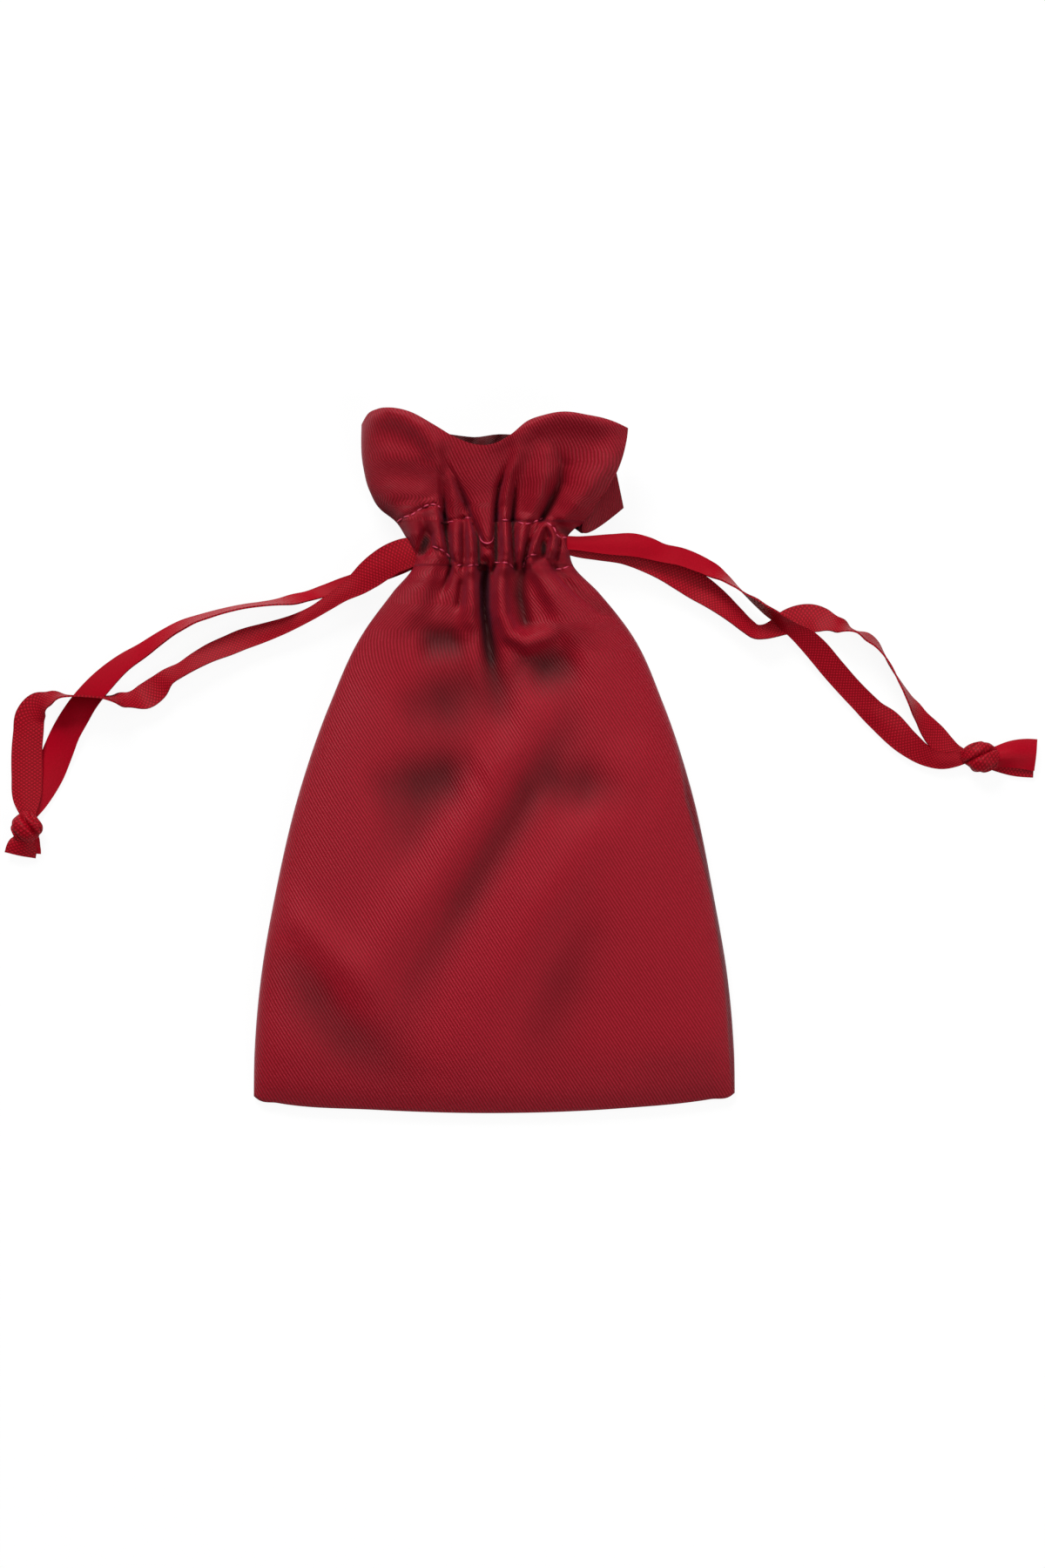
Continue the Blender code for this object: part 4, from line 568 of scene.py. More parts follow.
# The inner skin: the facing inside the header, the lining past the neck and the inside of the body
inner = [pulled_in(section, 2 * CLOTH, 2 * CLOTH) for section in header[:-1:INNER_STEP] + header[-1:]]
inner += [lining_section(level, NECK_HALF_GAP, CLOTH) for level in (casing_levels[1], casing_levels[-2])]
for place in list(range(0, BODY_ROWS - 1, INNER_STEP)) + [BODY_ROWS - 1]:
    lining = pulled_in(body[place], SEAM_ALLOWANCE, 3 * CLOTH)
    lining[:, 1] += 2 * CLOTH * max(0, (falls[place] - 0.9) / 0.1) ** 2
    inner.append(lining)
channel_outer = [pulled_in(section, CLOTH, CLOTH) for section in casing]
channel_lining = [lining_section(level, NECK_HALF_GAP + CLOTH, 0.0) for level in casing_levels]
points = np.concatenate(outer + inner + channel_outer + channel_lining)
inner_start = len(outer) * ring
channel_start = inner_start + len(inner) * ring
lining_start = channel_start + len(casing) * ring

# The slits in the side seams, where the ribbons come out of the casing
slit_levels = {"left": (41.4, 46.6), "right": (43.6, 48.8)}
slit_columns = {
    "left": [column % ring for column in range(-2, 4)],
    "right": list(range(FRONT_COLUMNS - 4, FRONT_COLUMNS + 2)),
}
slit_rows = {}
for side, (low, high) in slit_levels.items():
    rows_there = [row for row, level in enumerate(casing_levels) if low <= level <= high]
    slit_rows[side] = range(rows_there[0], rows_there[-1])


def in_slit(row, column):
    return any(column in slit_columns[side] and row in slit_rows[side] for side in slit_rows)


faces = skin_faces(0, len(outer), ring, lambda row, column: in_slit(row - first_casing, column))
faces += [face[::-1] for face in skin_faces(inner_start, len(inner), ring)]
faces += [face[::-1] for face in skin_faces(channel_start, len(casing), ring, in_slit)]
faces += skin_faces(lining_start, len(casing), ring)
last_row = (len(casing) - 1) * ring
# The lip, and the upper and lower end of the channel in the casing
for near, far in (
    (0, inner_start),
    (channel_start, lining_start),
    (lining_start + last_row, channel_start + last_row),
):
    for column in range(ring):
        beside = (column + 1) % ring
        faces.append((near + column, near + beside, far + beside, far + column))
# The edges of both slits
for side in slit_rows:
    top, end = slit_rows[side][0], slit_rows[side][-1] + 1
    across = slit_columns[side] + [(slit_columns[side][-1] + 1) % ring]
    loop = [(row, across[0]) for row in range(top, end)]
    loop += [(end, column) for column in across[:-1]]
    loop += [(row, across[-1]) for row in range(end, top, -1)]
    loop += [(top, column) for column in across[:0:-1]]
    for (row, column), (next_row, next_column) in zip(loop, loop[1:] + loop[:1]):
        here = row * ring + column
        following = next_row * ring + next_column
        outside = first_casing * ring
        faces.append((outside + here, outside + following, channel_start + following, channel_start + here))
# The bottom fold, outside and inside
for first, rows, flip in ((0, len(outer), False), (inner_start, len(inner), True)):
    last = first + (rows - 1) * ring
    front = [last + column for column in range(FRONT_COLUMNS + 1)]
    back = [last] + [last + column for column in range(ring - 1, FRONT_COLUMNS, -1)] + [last + FRONT_COLUMNS]
    ends = zipped(front, back)
    faces += [corners[::-1] for corners in ends] if flip else ends
pouch = smooth_piece("satin_pouch", points, faces, sharp=75.0)


# One unit of the satin's own coordinates is 100 mm of cloth.
CLOTH_UNIT = 100.0


def cloth_coordinates(sections):
    """Millimetres of cloth at each point: along its row from the middle, and along the length."""
    coordinates = []
    for section in sections:
        steps = np.linalg.norm(np.diff(section, axis=0), axis=1)
        across = np.r_[0, np.cumsum(steps)]
        middle = across[FRONT_COLUMNS // 2]
        back_half = across[FRONT_COLUMNS + 1 :]
        across = np.r_[across[: FRONT_COLUMNS + 1] - middle, back_half - middle]
        coordinates.append(np.stack([across, section[:, 1]], axis=1))
    return coordinates


def keep_coordinates(piece, own):
    """Stores the cloth coordinates of a piece's points, for the weave of its finish."""
    weave_map = piece.data.uv_layers.new(name="cloth")
    corner_points = np.empty(len(piece.data.loops), np.int32)
    piece.data.loops.foreach_get("vertex_index", corner_points)
    weave_map.data.foreach_set("uv", (own[corner_points] / CLOTH_UNIT).astype(np.float32).ravel())


keep_coordinates(pouch, np.concatenate(cloth_coordinates(outer + inner + channel_outer + channel_lining)))

# Painted shade in the folds, from 0 to 1: how far the satin's colour is darkened by the shade that falls
# low in the folds, more where the cloth is gathered, and most inside. A place starts to darken where its
# folds rise less than 0.2 mm, and is darkest 2.4 mm below that.
SHALLOW, DEEPEST, SHADE_CURVE, GATHERED_SHADE, INSIDE_SHADE = 0.2, 2.4, 1.25, 0.2, 0.85
on_front = np.zeros(len(points), bool)
on_front[:inner_start] = np.tile(np.arange(ring) <= FRONT_COLUMNS, len(outer))
front_x, front_y = points[on_front, 0], points[on_front, 1]
painted_crease_shade = np.clip((SHALLOW - all_folds(front_x, front_y)) / DEEPEST, 0, 1) ** SHADE_CURVE
painted_shade = np.zeros(len(points))
painted_shade[on_front] = 1 - (1 - painted_crease_shade) * (1 - GATHERED_SHADE * gathered(front_y))
# Painted shade over the whole inside of the pouch
painted_shade[inner_start:] = INSIDE_SHADE
painted_shade_layer = pouch.data.attributes.new(name="painted shade in the folds", type="FLOAT", domain="POINT")
painted_shade_layer.data.foreach_set("value", painted_shade.astype(np.float32))


# The finish: dark red polyester satin. Its long smooth floats shine along the folds, and the fine diagonal
# lines of the weave break the shine up. The real lines are 0.33 mm apart, which is too fine for the
# picture, so they are drawn 0.6 mm apart.
SATIN_PITCH, SATIN_ANGLE = 0.6, 33.0


def woven_lines(material, pitch, angle, source):
    """Lines across the cloth: 1 on a thread, 0 between. The pitch is in millimetres, the angle in degrees."""
    turns = 2 * math.pi * CLOTH_UNIT / pitch
    across = (turns * math.cos(math.radians(angle)), turns * math.sin(math.radians(angle)), 0)
    phase = add_node(material, "ShaderNodeVectorMath", {"operation": "DOT_PRODUCT", 1: across}, {0: source})
    wave = add_node(material, "ShaderNodeMath", {"operation": "SINE"}, {0: phase.outputs["Value"]})
    upwards = {"operation": "MULTIPLY_ADD", 1: 0.5, 2: 0.5}
    return add_node(material, "ShaderNodeMath", upwards, {0: wave.outputs[0]}).outputs[0]


def two_tones(material, dark, bright, share):
    """A colour between two sRGB hex colours, by a share."""
    ends = {"data_type": "RGBA", 6: linear(dark), 7: linear(bright)}
    return add_node(material, "ShaderNodeMix", ends, {0: share}).outputs[2]


def finish_surface(material, settings, colour=None, relief=None, strength=0.0, distance=0.0):
    """Ends a material with its surface, with a colour and a relief of this strength where it has them."""
    links = {}
    if colour is not None:
        height = {"Strength": strength, "Distance": distance}
        bump = add_node(material, "ShaderNodeBump", height, {"Height": relief})
        links = {"Base Color": colour, "Normal": bump.outputs[0]}
    surface = add_node(material, "ShaderNodeBsdfPrincipled", settings, links)
    add_node(material, "ShaderNodeOutputMaterial", {}, {"Surface": surface.outputs[0]})


satin = new_material("dark red polyester satin")
place = add_node(satin, "ShaderNodeUVMap", {"uv_map": "cloth"}).outputs[0]
uneven = {"Scale": 210.0, "Detail": 3.0, "Roughness": 0.7}
slubs = add_node(satin, "ShaderNodeTexNoise", uneven, {"Vector": place}).outputs["Fac"]
lines = woven_lines(satin, SATIN_PITCH, SATIN_ANGLE, place)
thread = add_node(satin, "ShaderNodeMath", {"operation": "MULTIPLY"}, {0: lines, 1: slubs}).outputs[0]
tone = two_tones(satin, "#74040E", "#B01A34", thread)
# Painted shade: far down in a fold the satin mirrors only itself and lies in shade, so its colour is
# mixed towards a darker, browner red there, and inside the pouch too.
painted_shade_reader = add_node(satin, "ShaderNodeAttribute", {"attribute_name": "painted shade in the folds"})
painted_shade_tone = {"data_type": "RGBA", 7: linear("#2E0204")}
shaded = add_node(satin, "ShaderNodeMix", painted_shade_tone, {0: painted_shade_reader.outputs["Fac"], 6: tone}).outputs[2]
satin_shine = {
    "Roughness": 0.55,
    "Anisotropic": 0.4,
    "Sheen Weight": 0.06,
    "Sheen Roughness": 0.4,
    "Sheen Tint": linear("#FF80B0"),
    "Specular IOR Level": 0.16,
}
finish_surface(satin, satin_shine, shaded, thread, 0.7, 0.2 * MM)
pouch.data.materials.append(satin)
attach(pouch, "root")
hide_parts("pouch")


# The stitching
# Two rows of lockstitch in a paler red thread hold the casing. The gathers push each row up and down over
# the folds, and at the tip of the cone the thread lies in a small loop.
THREAD_RADIUS, THREAD_LIFT, STITCH_ARCH = 0.17, 0.06, 0.16
STITCH, STITCH_GAP, LOOP_STITCH = 1.15, 0.4, 5.0
UPPER_ROW = [
    [(-20, 49.6), (-18.4, 50.5), (-17.4, 50.7), (-15.4, 52), (-13.2, 53), (-12.2, 53), (-11.1, 52.4)],
    [(-9.6, 49.4), (-8, 49.6)],
    [(-6, 50.3), (-4.6, 50.3)],
    [(1.7, 49.8), (3.1, 49.8)],
    [(5, 49.4), (6.2, 49), (8, 49.4), (10, 50.3)],
    [(10.9, 49.3), (12.2, 48.3), (13.4, 46.4), (15, 46.3)],
]
LOWER_ROW = [
    [(-12.7, 44.4), (-11.6, 44), (-10, 43.1), (-9.1, 42.2)],
    [(-7.6, 40.4), (-6.7, 40.6)],
    [(-5.5, 40.2), (-3.3, 40.6), (-2.2, 40.1)],
    [(0.1, 41.1), (1.4, 41), (3.1, 40.8), (3.9, 40.1)],
    [(6, 40.1), (6.8, 42.2), (9.4, 42.8)],
    [(12.7, 39.7), (14.3, 39.9), (15.9, 40.6)],
]
TIP_LOOP = [(-3, 46.6), (-2.7, 45.7), (-2, 45.1), (-1.2, 45), (-0.5, 45.4), (-0.1, 46.5)]


def beside_and_above(line):
    """The level direction to the right of a line and the one above it, at each of its points."""
    along = np.gradient(line, axis=0)
    along /= np.linalg.norm(along, axis=1)[:, None]
    beside = np.cross(along, [0.0, 0.0, 1.0])
    beside /= np.linalg.norm(beside, axis=1)[:, None]
    return beside, np.cross(beside, along)


def tube_faces(rows, sides):
    """Quads round a tube of rows of points, and both of its ends."""
    ends = [tuple(range(sides))[::-1], tuple(range((rows - 1) * sides, rows * sides))]
    return ends + skin_faces(0, rows, sides)


def thread_tube(points, radius, sides=7):
    """A tube of thread along the points, with pointed ends that dive into the cloth."""
    beside, above = beside_and_above(points)
    turns = np.linspace(0, 2 * math.pi, sides, endpoint=False)
    round_section = np.cos(turns)[:, None, None] * beside + np.sin(turns)[:, None, None] * above
    swell = radius * np.sqrt(np.sin(np.linspace(0.12, math.pi - 0.12, len(points))))
    rings = (points + swell[:, None] * round_section).transpose(1, 0, 2).reshape(-1, 3)
    return rings, tube_faces(len(points), sides)


def laid_on_cloth(line, lift):
    """A line in the drawing, raised to just above the pouch's front."""
    share = (line[:, 0] - left_side(line[:, 1])) / (right_side(line[:, 1]) - left_side(line[:, 1]))
    return np.column_stack([line, front_height(share, line[:, 0], line[:, 1]) + lift])


def stitches(run, stitch):
    """Tubes for the stitches of one run, each this long, with a short gap between them."""
    run = np.array(run, float)
    lengths = np.r_[0, np.cumsum(np.linalg.norm(np.diff(run, axis=0), axis=1))]
    path = smooth_curve(np.column_stack([lengths, run]))
    tubes = []
    for start in np.arange(0, max(lengths[-1] - 0.5 * stitch, 0.1), stitch + STITCH_GAP):
        where = np.linspace(start, min(start + stitch, lengths[-1]), 9 + int(2 * stitch))
        arch = THREAD_LIFT + STITCH_ARCH * np.sin(np.linspace(0, math.pi, len(where)))
        tubes.append(thread_tube(laid_on_cloth(path(where), arch), THREAD_RADIUS))
    return tubes


tubes = [tube for run in UPPER_ROW + LOWER_ROW for tube in stitches(run, STITCH)]
tubes += stitches(TIP_LOOP, LOOP_STITCH)
thread_points, thread_faces = [], []
for rings, faces in tubes:
    thread_faces += [tuple(len(thread_points) + corner for corner in face) for face in faces]
    thread_points += rings.tolist()
stitching = smooth_piece("stitching_thread", thread_points, thread_faces)

# The thread is polyester too, a paler red than the cloth, with a soft shine.
thread_finish = new_material("paler red polyester thread")
finish_surface(thread_finish, {"Base Color": linear("#B83A54"), "Roughness": 0.5, "Specular IOR Level": 0.3})
stitching.data.materials.append(thread_finish)
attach(stitching, "root")


# The ribbons
# Two narrow polyester ribbons run all round inside the casing. Each comes out at one side as two tails,
# knotted together near their ends. One face is smooth satin, and the other shows the weave.
RIBBON_WIDTH, RIBBON_THICKNESS = 6.4, 0.28
# How much thicker the woven edges are, as a share
SELVEDGE = 0.35


def folded_section(fold, width, columns_across):
    """A ribbon's section, bent down to both sides of its middle: across, up, and the way that it faces."""
    fine = np.linspace(-0.5, 0.5, 81)
    slope = -np.radians(fold)[:, None] * np.clip(fine / 0.2, -1, 1)[None, :]
    step = width[:, None] * (fine[1] - fine[0])
    across = np.cumsum(np.cos(slope), axis=1) * step
    up = np.cumsum(np.sin(slope), axis=1) * step
    across -= across.mean(axis=1)[:, None]
    up -= (up.max(axis=1) + up.min(axis=1))[:, None] / 2
    pick = np.rint(np.linspace(0, 80, columns_across)).astype(int)
    return across[:, pick], up[:, pick], slope[:, pick]


def ribbon_strip(name, route, materials, spacing=0.5, columns_across=13):
    """A ribbon's mesh along its route, with its cut ends closed and its own coordinates in millimetres."""
    route = np.array(route, float)
    lengths = np.r_[0, np.cumsum(np.linalg.norm(np.diff(route[:, :3], axis=0), axis=1))]
    curve = smooth_curve(np.column_stack([lengths, route]))
    where = np.linspace(0, lengths[-1], int(lengths[-1] / spacing))
    samples = curve(where)
    centres = samples[:, :3]
    right, rise = beside_and_above(centres)
    roll = np.radians(samples[:, 3])[:, None]
    beside = np.sin(roll) * rise - np.cos(roll) * right
    facing = np.cos(roll) * rise + np.sin(roll) * right
    # The fold always hangs down to both sides, whichever face is up.
    upwards = np.where(np.cos(roll) >= 0, 1.0, -1.0)[:, 0]
    across, up, slope = folded_section(samples[:, 4] * upwards, samples[:, 5], columns_across)
    middle = centres[:, None] + across[..., None] * beside[:, None] + up[..., None] * facing[:, None]
    normal = np.cos(slope)[..., None] * facing[:, None] - np.sin(slope)[..., None] * beside[:, None]
    edge = np.abs(np.linspace(-1, 1, columns_across)) ** 8
    thick = RIBBON_THICKNESS * (1 + SELVEDGE * edge)[None, :, None] / 2
    upper = middle + thick * normal
    lower = middle - thick * normal
    points = np.concatenate([upper.reshape(-1, 3), lower.reshape(-1, 3)])
    rows = len(centres)
    half = rows * columns_across
    faces = []
    sides = []
    for row in range(rows - 1):
        for column in range(columns_across - 1):
            a = row * columns_across + column
            b = a + columns_across
            faces.append((a, a + 1, b + 1, b))
            sides.append(0)
            faces.append((half + a, half + b, half + b + 1, half + a + 1))
            sides.append(1)
        for column in (0, columns_across - 1):
            a = row * columns_across + column
            b = a + columns_across
            corners = (a, b, half + b, half + a)
            faces.append(corners if column == 0 else corners[1::-1] + corners[:1:-1])
            sides.append(0)
    for row, flip in ((0, True), (rows - 1, False)):
        for column in range(columns_across - 1):
            a = row * columns_across + column
            corners = (a, a + 1, half + a + 1, half + a)
            faces.append(corners[::-1] if flip else corners)
            sides.append(0)
    piece = smooth_piece(name, points, faces)
    for material in materials:
        piece.data.materials.append(material)
    piece.data.polygons.foreach_set("material_index", sides)
    over_width = RIBBON_WIDTH * np.linspace(-0.5, 0.5, columns_across)
    own = np.stack([np.repeat(where, columns_across), np.tile(over_width, rows)], axis=1)
    keep_coordinates(piece, np.concatenate([own, own]))
    return piece


# The smooth face: long floats that run along the ribbon, bright and even.
ribbon_satin = new_material("red ribbon satin face")
place = add_node(ribbon_satin, "ShaderNodeUVMap", {"uv_map": "cloth"}).outputs[0]
uneven = {"Scale": 220.0, "Detail": 2.0}
slubs = add_node(ribbon_satin, "ShaderNodeTexNoise", uneven, {"Vector": place}).outputs["Fac"]
tone = two_tones(ribbon_satin, "#84000E", "#98001A", slubs)
ribbon_shine = {"Roughness": 0.5, "Anisotropic": 0.4, "Specular IOR Level": 0.06}
finish_surface(ribbon_satin, ribbon_shine, tone, slubs, 0.1, 0.1 * MM)

# The woven face: the threads cross in short steps, so it is darker, with small bright dots in slanting
# rows. The steps are 0.45 mm apart on the real ribbon, and are drawn 0.62 mm apart so that they show.
RIBBON_PITCH, RIBBON_ANGLE = 0.62, 34.0
ribbon_woven = new_material("red ribbon woven face")
place = add_node(ribbon_woven, "ShaderNodeUVMap", {"uv_map": "cloth"}).outputs[0]
one_way = woven_lines(ribbon_woven, RIBBON_PITCH, RIBBON_ANGLE, place)
other_way = woven_lines(ribbon_woven, RIBBON_PITCH, -RIBBON_ANGLE, place)
crossed = {"operation": "MULTIPLY"}
dots = add_node(ribbon_woven, "ShaderNodeMath", crossed, {0: one_way, 1: other_way}).outputs[0]
tone = two_tones(ribbon_woven, "#74000C", "#AC0A22", dots)
finish_surface(ribbon_woven, {"Roughness": 0.55, "Specular IOR Level": 0.1}, tone, dots, 0.15, 0.2 * MM)

RIBBON_FACES = [ribbon_woven, ribbon_satin]

# The loop of each ribbon inside the casing is the source's own solid. It doesn't show.
for side in ("left", "right"):
    hidden_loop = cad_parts[side + "_ribbon_in_casing"]
    hidden_loop.data.materials.clear()
    hidden_loop.data.materials.append(ribbon_satin)


# The knots
# Both tails of a side are tied together in one tight overhand knot, a short pleated wrap round their ends.
# Their cut ends spread out from it like a small fan.
KNOT_RADIUS, KNOT_FLATNESS = 2.6, 0.78


def wrapped_knot(name, axis, radii, creases):
    """A tight wrap of ribbon round an axis. Its creases wind along it: angle, winding, width and depth."""
    axis = np.array(axis, float)
    rows, turns, end_angle = 44, 72, 0.06
    lengths = np.r_[0, np.cumsum(np.linalg.norm(np.diff(axis, axis=0), axis=1))]
    curve = smooth_curve(np.column_stack([lengths, axis]))
    share = 0.5 - 0.5 * np.cos(np.linspace(end_angle, math.pi - end_angle, rows))
    centres = curve(share * lengths[-1])
    radius = smooth_curve(radii)(share)
    beside, above = beside_and_above(centres)
    angle = np.linspace(0, 2 * math.pi, turns, endpoint=False)
    swell = np.ones((rows, turns))
    for first_angle, winding, width, depth in creases:
        off = (angle[None, :] - first_angle - winding * share[:, None] + math.pi) % (2 * math.pi) - math.pi
        swell -= depth * np.exp(-((off / width) ** 2))
    # The fine ribs of the pleated wrap
    swell += 0.018 * np.sin(9 * angle[None, :] + 5.0 * share[:, None])
    out = radius[:, None] * swell
    points = centres[:, None] + (out * np.cos(angle))[..., None] * beside[:, None]
    points = points + (KNOT_FLATNESS * out * np.sin(angle))[..., None] * above[:, None]
    knot = smooth_piece(name, points.reshape(-1, 3), tube_faces(rows, turns))
    own = np.stack([np.repeat(share * lengths[-1], turns), np.tile(angle * KNOT_RADIUS, rows)], axis=1)
    keep_coordinates(knot, own)
    knot.data.materials.append(ribbon_woven)
    return knot


# Each cut end lies as x, y, z, roll, fold and width again, from inside the knot to the cut.
LEFT_CUT_ENDS = [
    [(-97, -14.2, 2.4, 0, 62, 4.6), (-97.3, -15.8, 2.3, 0, 54, 5.4), (-97.8, -17.4, 1.9, -4, 26, 6.4),
     (-98.3, -19.4, 1.3, -8, 10, 6.6)],
    [(-96.7, -14.2, 1.4, 180, 50, 4.6), (-96.8, -16, 1.1, 180, 34, 5.6), (-97.1, -17.6, 0.8, 180, 14, 6.2),
     (-97.2, -18.9, 0.6, 180, 4, 6.4)],
]
RIGHT_CUT_ENDS = [
    [(102, 0.7, 2.3, 180, 62, 4.8), (104.4, 1.1, 2.2, 180, 46, 5.4), (107.6, 1.6, 1.9, 176, 30, 6.2),
     (110.4, 1.6, 1.5, 176, 20, 6.6), (112.3, 1.4, 1.3, 176, 14, 6.7)],
    [(102, 0.6, 1.3, 0, 50, 4.6), (104.6, 0.3, 1.1, 0, 36, 5.4), (107.6, 0.1, 0.9, 0, 20, 6.2),
     (109.8, 0, 0.7, 0, 10, 6.4), (111.9, -0.1, 0.6, 0, 6, 6.4)],
]
knots = {
    "left": wrapped_knot(
        "knot_at_the_left",
        [(-96.4, -10.3, 2.1), (-96.7, -12.0, 2.3), (-96.9, -13.8, 2.4), (-97.1, -16.4, 2.1)],
        [(0, 1.2), (0.14, 1.9), (0.36, 3.1), (0.78, 2.9), (1, 1.8)],
        [(0.5, 2.6, 0.2, 0.4), (1.8, 1.8, 0.14, 0.24), (3.4, 2.8, 0.3, 0.2), (5.2, 2.2, 0.2, 0.26)],
    ),
    "right": wrapped_knot(
        "knot_at_the_right",
        [(96.9, 1.0, 2.0), (98.6, 1.2, 2.3), (100.6, 1.0, 2.5), (102.6, 0.8, 2.4), (104.2, 0.7, 2.1)],
        [(0, 1.2), (0.14, 2.0), (0.38, 3.1), (0.75, 3.0), (1, 1.9)],
        [(0.5, 2.4, 0.18, 0.4), (1.9, 2.2, 0.14, 0.26), (3.5, 2.4, 0.3, 0.2), (5.0, 2.2, 0.2, 0.26)],
    ),
}
for side, ends in (("left", LEFT_CUT_ENDS), ("right", RIGHT_CUT_ENDS)):
    knot = knots[side]
    parts = [knot]
    for place, route in enumerate(ends):
        parts.append(ribbon_strip(f"cut_end_{side}_{place}", route, RIBBON_FACES, spacing=0.25))
    with bpy.context.temp_override(active_object=knot, selected_editable_objects=parts):
        bpy.ops.object.join()
    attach(knot, "root")
    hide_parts(side + "_knot")


# The tails
# Each ribbon comes out of its slit as two tails, which lie loosely on each other and on the table up to the
# knot. They are flat strips that roll onto an edge or turn over, and narrow where they curl.

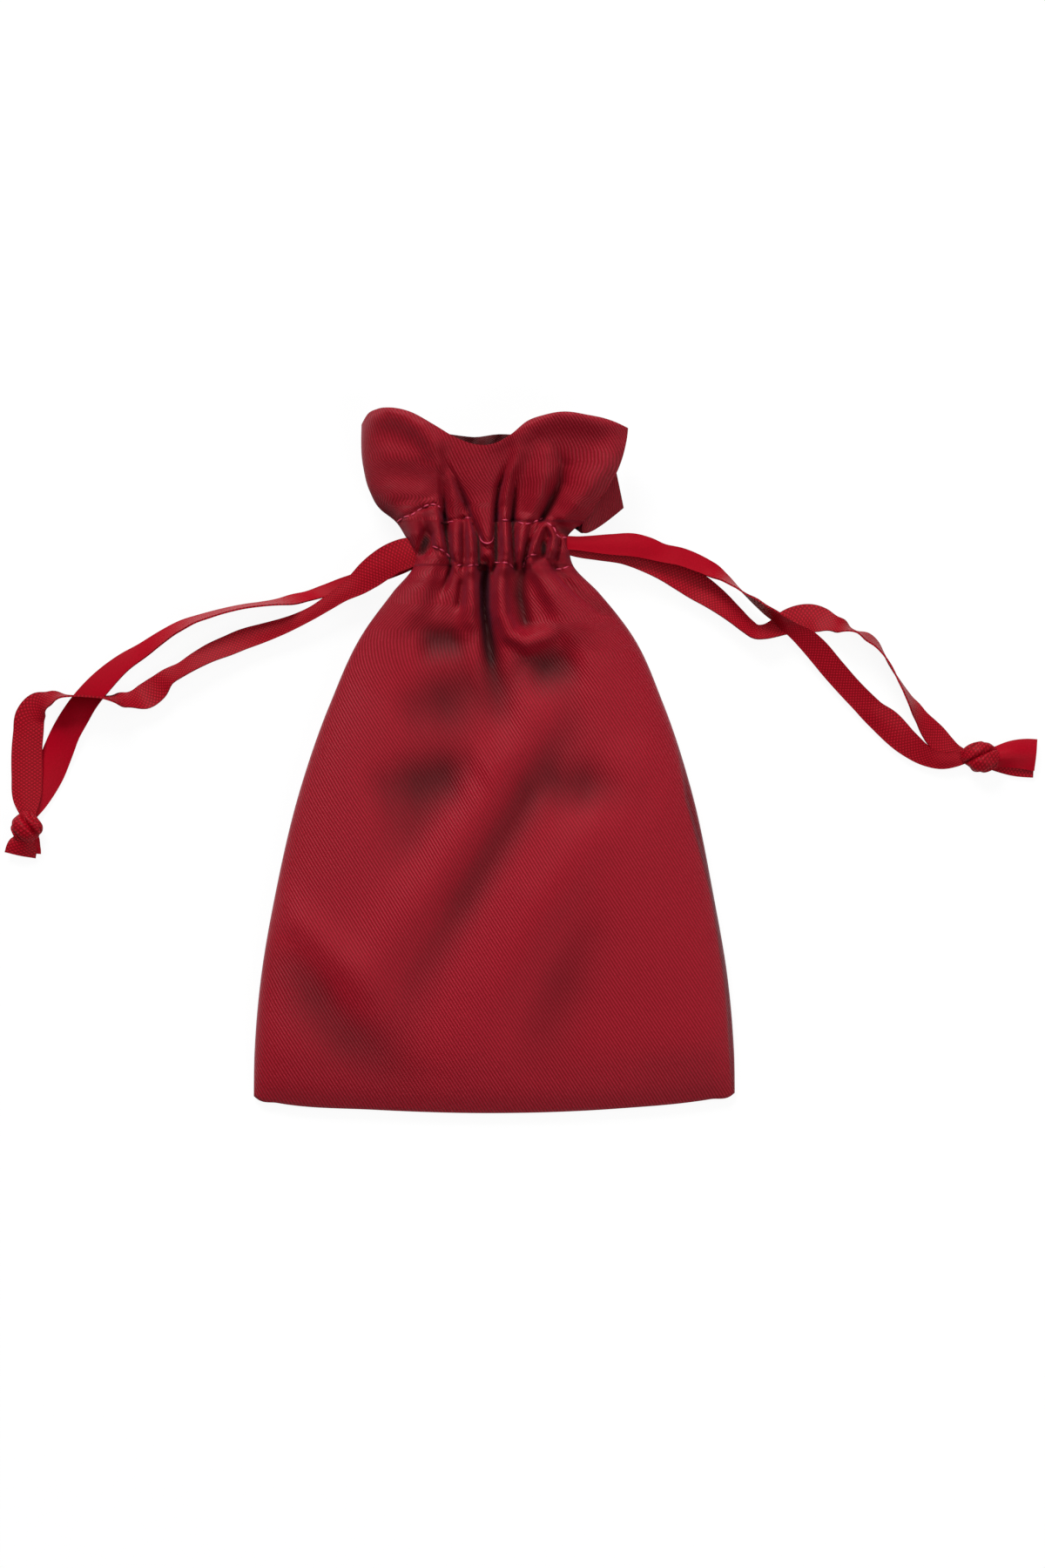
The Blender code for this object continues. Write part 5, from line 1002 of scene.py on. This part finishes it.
# How each lies, in millimetres: x, y, z, roll in degrees, how far the ribbon is folded along its middle in
# degrees, and its width
TAILS = {
    "left_front_tail": [
        (-14.6, 44.1, 7, 0, 10, 5.1), (-18.7, 42.9, 6.9, 0, 4, 6.4), (-21, 42, 6.6, 0, 4, 6.4),
        (-23.4, 40.5, 6.1, 2, 10, 6.4), (-25.8, 38.7, 5.5, 4, 10, 6), (-28.1, 36.9, 4.9, 6, 10, 5),
        (-31.5, 34.7, 4.4, 6, 10, 3.4), (-34.3, 32.9, 4, 4, 10, 3), (-37.5, 30.9, 3.8, 4, 10, 2.7),
        (-40.5, 29.4, 3.5, 8, 10, 2.9), (-43.4, 28.2, 3.1, 7, 10, 3.3), (-47.8, 26.7, 2.6, 10, 10, 4),
        (-52.2, 25.3, 2.4, 13, 0, 4.4), (-55.3, 24, 2.5, 18, 0, 4.4), (-58.3, 22.8, 2.7, 23, 0, 4.2),
        (-61.9, 20.9, 2.9, 28, 0, 3.8), (-64.8, 19.1, 3, 38, 0, 3.7), (-67.7, 17.5, 2.7, 28, 0, 4),
        (-70.1, 15.1, 2, 18, 0, 5.4), (-72.5, 13.5, 1.9, 17, 0, 5.5), (-76.1, 12.8, 3.1, 38, 0, 3.8),
        (-78.6, 13, 3.7, 77, 0, 6.4), (-80.7, 13.3, 3.9, 86, 0, 6.4), (-84, 13.5, 4, 90, 0, 6.4),
        (-87.4, 13.6, 4, 89, 0, 6.4), (-90.1, 13.5, 3.8, 80, 0, 6.4), (-92.5, 12.9, 3.2, 38, 0, 3.8),
        (-94.4, 11.9, 2.2, 18, 0, 5.4), (-96.2, 9.4, 1.4, 7, 6, 6.3), (-96.6, 6, 1.2, 6, 8, 6.4),
        (-96.9, 2.4, 1.2, 2, 8, 6.4), (-96.9, -2.8, 1.3, 0, 8, 6.4), (-96.9, -8, 1.6, 0, 10, 5.6),
        (-96.6, -11.2, 1.9, 0, 10, 3.1),
    ],
    "left_back_tail": [
        (-14.6, 43.6, 5.6, 180, 10, 5.1), (-20.2, 41, 5, 182, 10, 5), (-23.7, 39.4, 4.3, 186, 10, 4.4),
        (-28.2, 37.6, 3.4, 189, 10, 3.3), (-31.8, 36.6, 3, 197, 0, 2.8), (-35.4, 35.3, 2.8, 205, 0, 2.7),
        (-39.3, 34.1, 3, 228, 0, 3), (-43.9, 33.2, 3.3, 256, 0, 6.3), (-48.4, 32.6, 3.5, 262, 0, 6.4),
        (-51.4, 32.2, 3.5, 262, 0, 6.4), (-55.3, 31.4, 3.5, 261, 0, 6.4), (-58.9, 30.4, 3.5, 259, 0, 6.4),
        (-62.6, 29.2, 3.4, 256, 0, 6.4), (-66.2, 27.5, 3.3, 241, 0, 4.3), (-69.2, 25.6, 3.1, 230, 0, 3.9),
        (-72.9, 23, 2.9, 216, 0, 3.8), (-76.8, 20.5, 2.6, 207, 0, 4.2), (-81, 16.8, 2.2, 201, 0, 5.1),
        (-84.9, 12.4, 1.7, 196, 0, 5.6), (-86.9, 9.4, 1.4, 192, 8, 6), (-88.7, 6.3, 1.1, 190, 8, 6.1),
        (-90.5, 2.1, 0.6, 188, 8, 6.4), (-92.2, -2.3, 0.5, 182, 8, 6.2), (-94, -6.2, 0.6, 180, 10, 5.4),
        (-95.5, -9.4, 0.8, 180, 10, 4), (-96.3, -11.2, 1, 180, 10, 2.7),
    ],
    "right_front_tail": [
        (14, 45.3, 6.9, 180, 10, 2.8), (17.4, 45.1, 6.8, 172, 10, 2.9), (19.8, 45, 6.6, 172, 10, 3.4),
        (24.4, 44.9, 6.2, 169, 10, 4.4), (28.9, 44.8, 5.8, 168, 10, 4.9), (31.7, 44.2, 5.5, 169, 10, 4.6),
        (34.6, 43.2, 5.2, 166, 0, 4), (38.8, 42.3, 5, 163, 0, 3.9), (41.7, 41.2, 4.9, 160, 0, 3.8),
        (44.7, 39.8, 4.9, 153, 0, 3.5), (47.3, 38.3, 5, 116, 0, 4.2), (49.9, 36.3, 5.1, 96, 0, 6.3),
        (52, 34.6, 5.2, 90, 0, 6.4), (54, 33.2, 5.2, 82, 0, 6.4), (56, 31.6, 5.1, 78, 0, 6.4),
        (58.5, 29.9, 4.9, 64, 0, 4.4), (61.3, 27.8, 4.5, 38, 0, 3.7), (64.1, 25.8, 3.9, 24, 0, 4.5),
        (66.1, 23.9, 3.4, 20, 0, 4.9), (70.4, 18.9, 2.6, 17, 0, 5), (73.7, 15.2, 2.2, 15, 0, 4.9),
        (76.7, 12.1, 2, 13, 0, 5), (78.6, 10.2, 1.8, 11, 10, 5.3), (81.1, 8.2, 1.6, 8, 10, 6),
        (85.6, 3.9, 1.8, 13, 0, 5.4), (89.7, 1.1, 1.8, 17, 0, 4.2), (93, 0.2, 1.8, 12, 10, 3.5),
        (95.4, 0.4, 1.9, 10, 10, 3), (97.6, 0.9, 1.9, 0, 10, 2.4),
    ],
    "right_back_tail": [
        (14, 44.6, 5.4, 0, 10, 2.8), (17, 43.9, 5.2, -10, 10, 3.2), (21.9, 43.6, 4.6, -8, 10, 4.1),
        (26.7, 43.2, 4.2, -7, 10, 4.7), (30.7, 42.1, 3.8, -10, 10, 5.2), (34.7, 40.3, 3.3, -13, 0, 5.2),
        (39.2, 37.9, 2.7, -13, 0, 5.7), (41.5, 36.6, 2.4, -13, 0, 5.9), (45.8, 33.7, 2.6, -20, 0, 5.2),
        (50, 30.2, 3.1, -28, 0, 4.1), (52.4, 28.1, 3.2, -36, 0, 3.8), (54.2, 26.9, 3.2, -40, 0, 3.8),
        (55.9, 26.9, 3.2, -40, 0, 3.8), (58.1, 27.6, 2.9, -28, 0, 4.1), (59.9, 28.5, 2.4, -21, 0, 5.1),
        (62.6, 29.35, 1.7, -12, 0, 6), (65.9, 29.7, 1.7, -11, 6, 6), (67.8, 29.4, 2.1, -18, 0, 5.4),
        (70.9, 28.4, 3, -33, 0, 3.8), (73, 27.6, 3.4, -77, 0, 6.4), (75, 26.9, 3.5, -87, 0, 6.4),
        (77.3, 25.8, 3.5, -73, 0, 5.6), (79, 24.5, 3.5, -78, 0, 6.4), (80.4, 22.6, 3.5, -85, 0, 6.4),
        (81.8, 20.3, 3.5, -89, 0, 6.4), (83.9, 16.6, 3.5, -85, 0, 6.4), (85.2, 14.4, 3.4, -81, 0, 6.4),
        (86.4, 12.4, 3.4, -73, 0, 5.6), (88.2, 9.6, 2.9, -43, 0, 3.8), (89.9, 7.2, 2.4, -25, 0, 4.5),
        (91.2, 5.6, 1.9, -20, 0, 5), (93.4, 3.3, 1.4, -13, 0, 4.6), (95.7, 1.8, 1.1, -10, 10, 3.5),
        (97.6, 1.1, 1, 0, 10, 2.7),
    ],
}
for name, route in TAILS.items():
    tail = ribbon_strip("ribbon_" + name, route, RIBBON_FACES)
    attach(tail, "root")
    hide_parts(name)
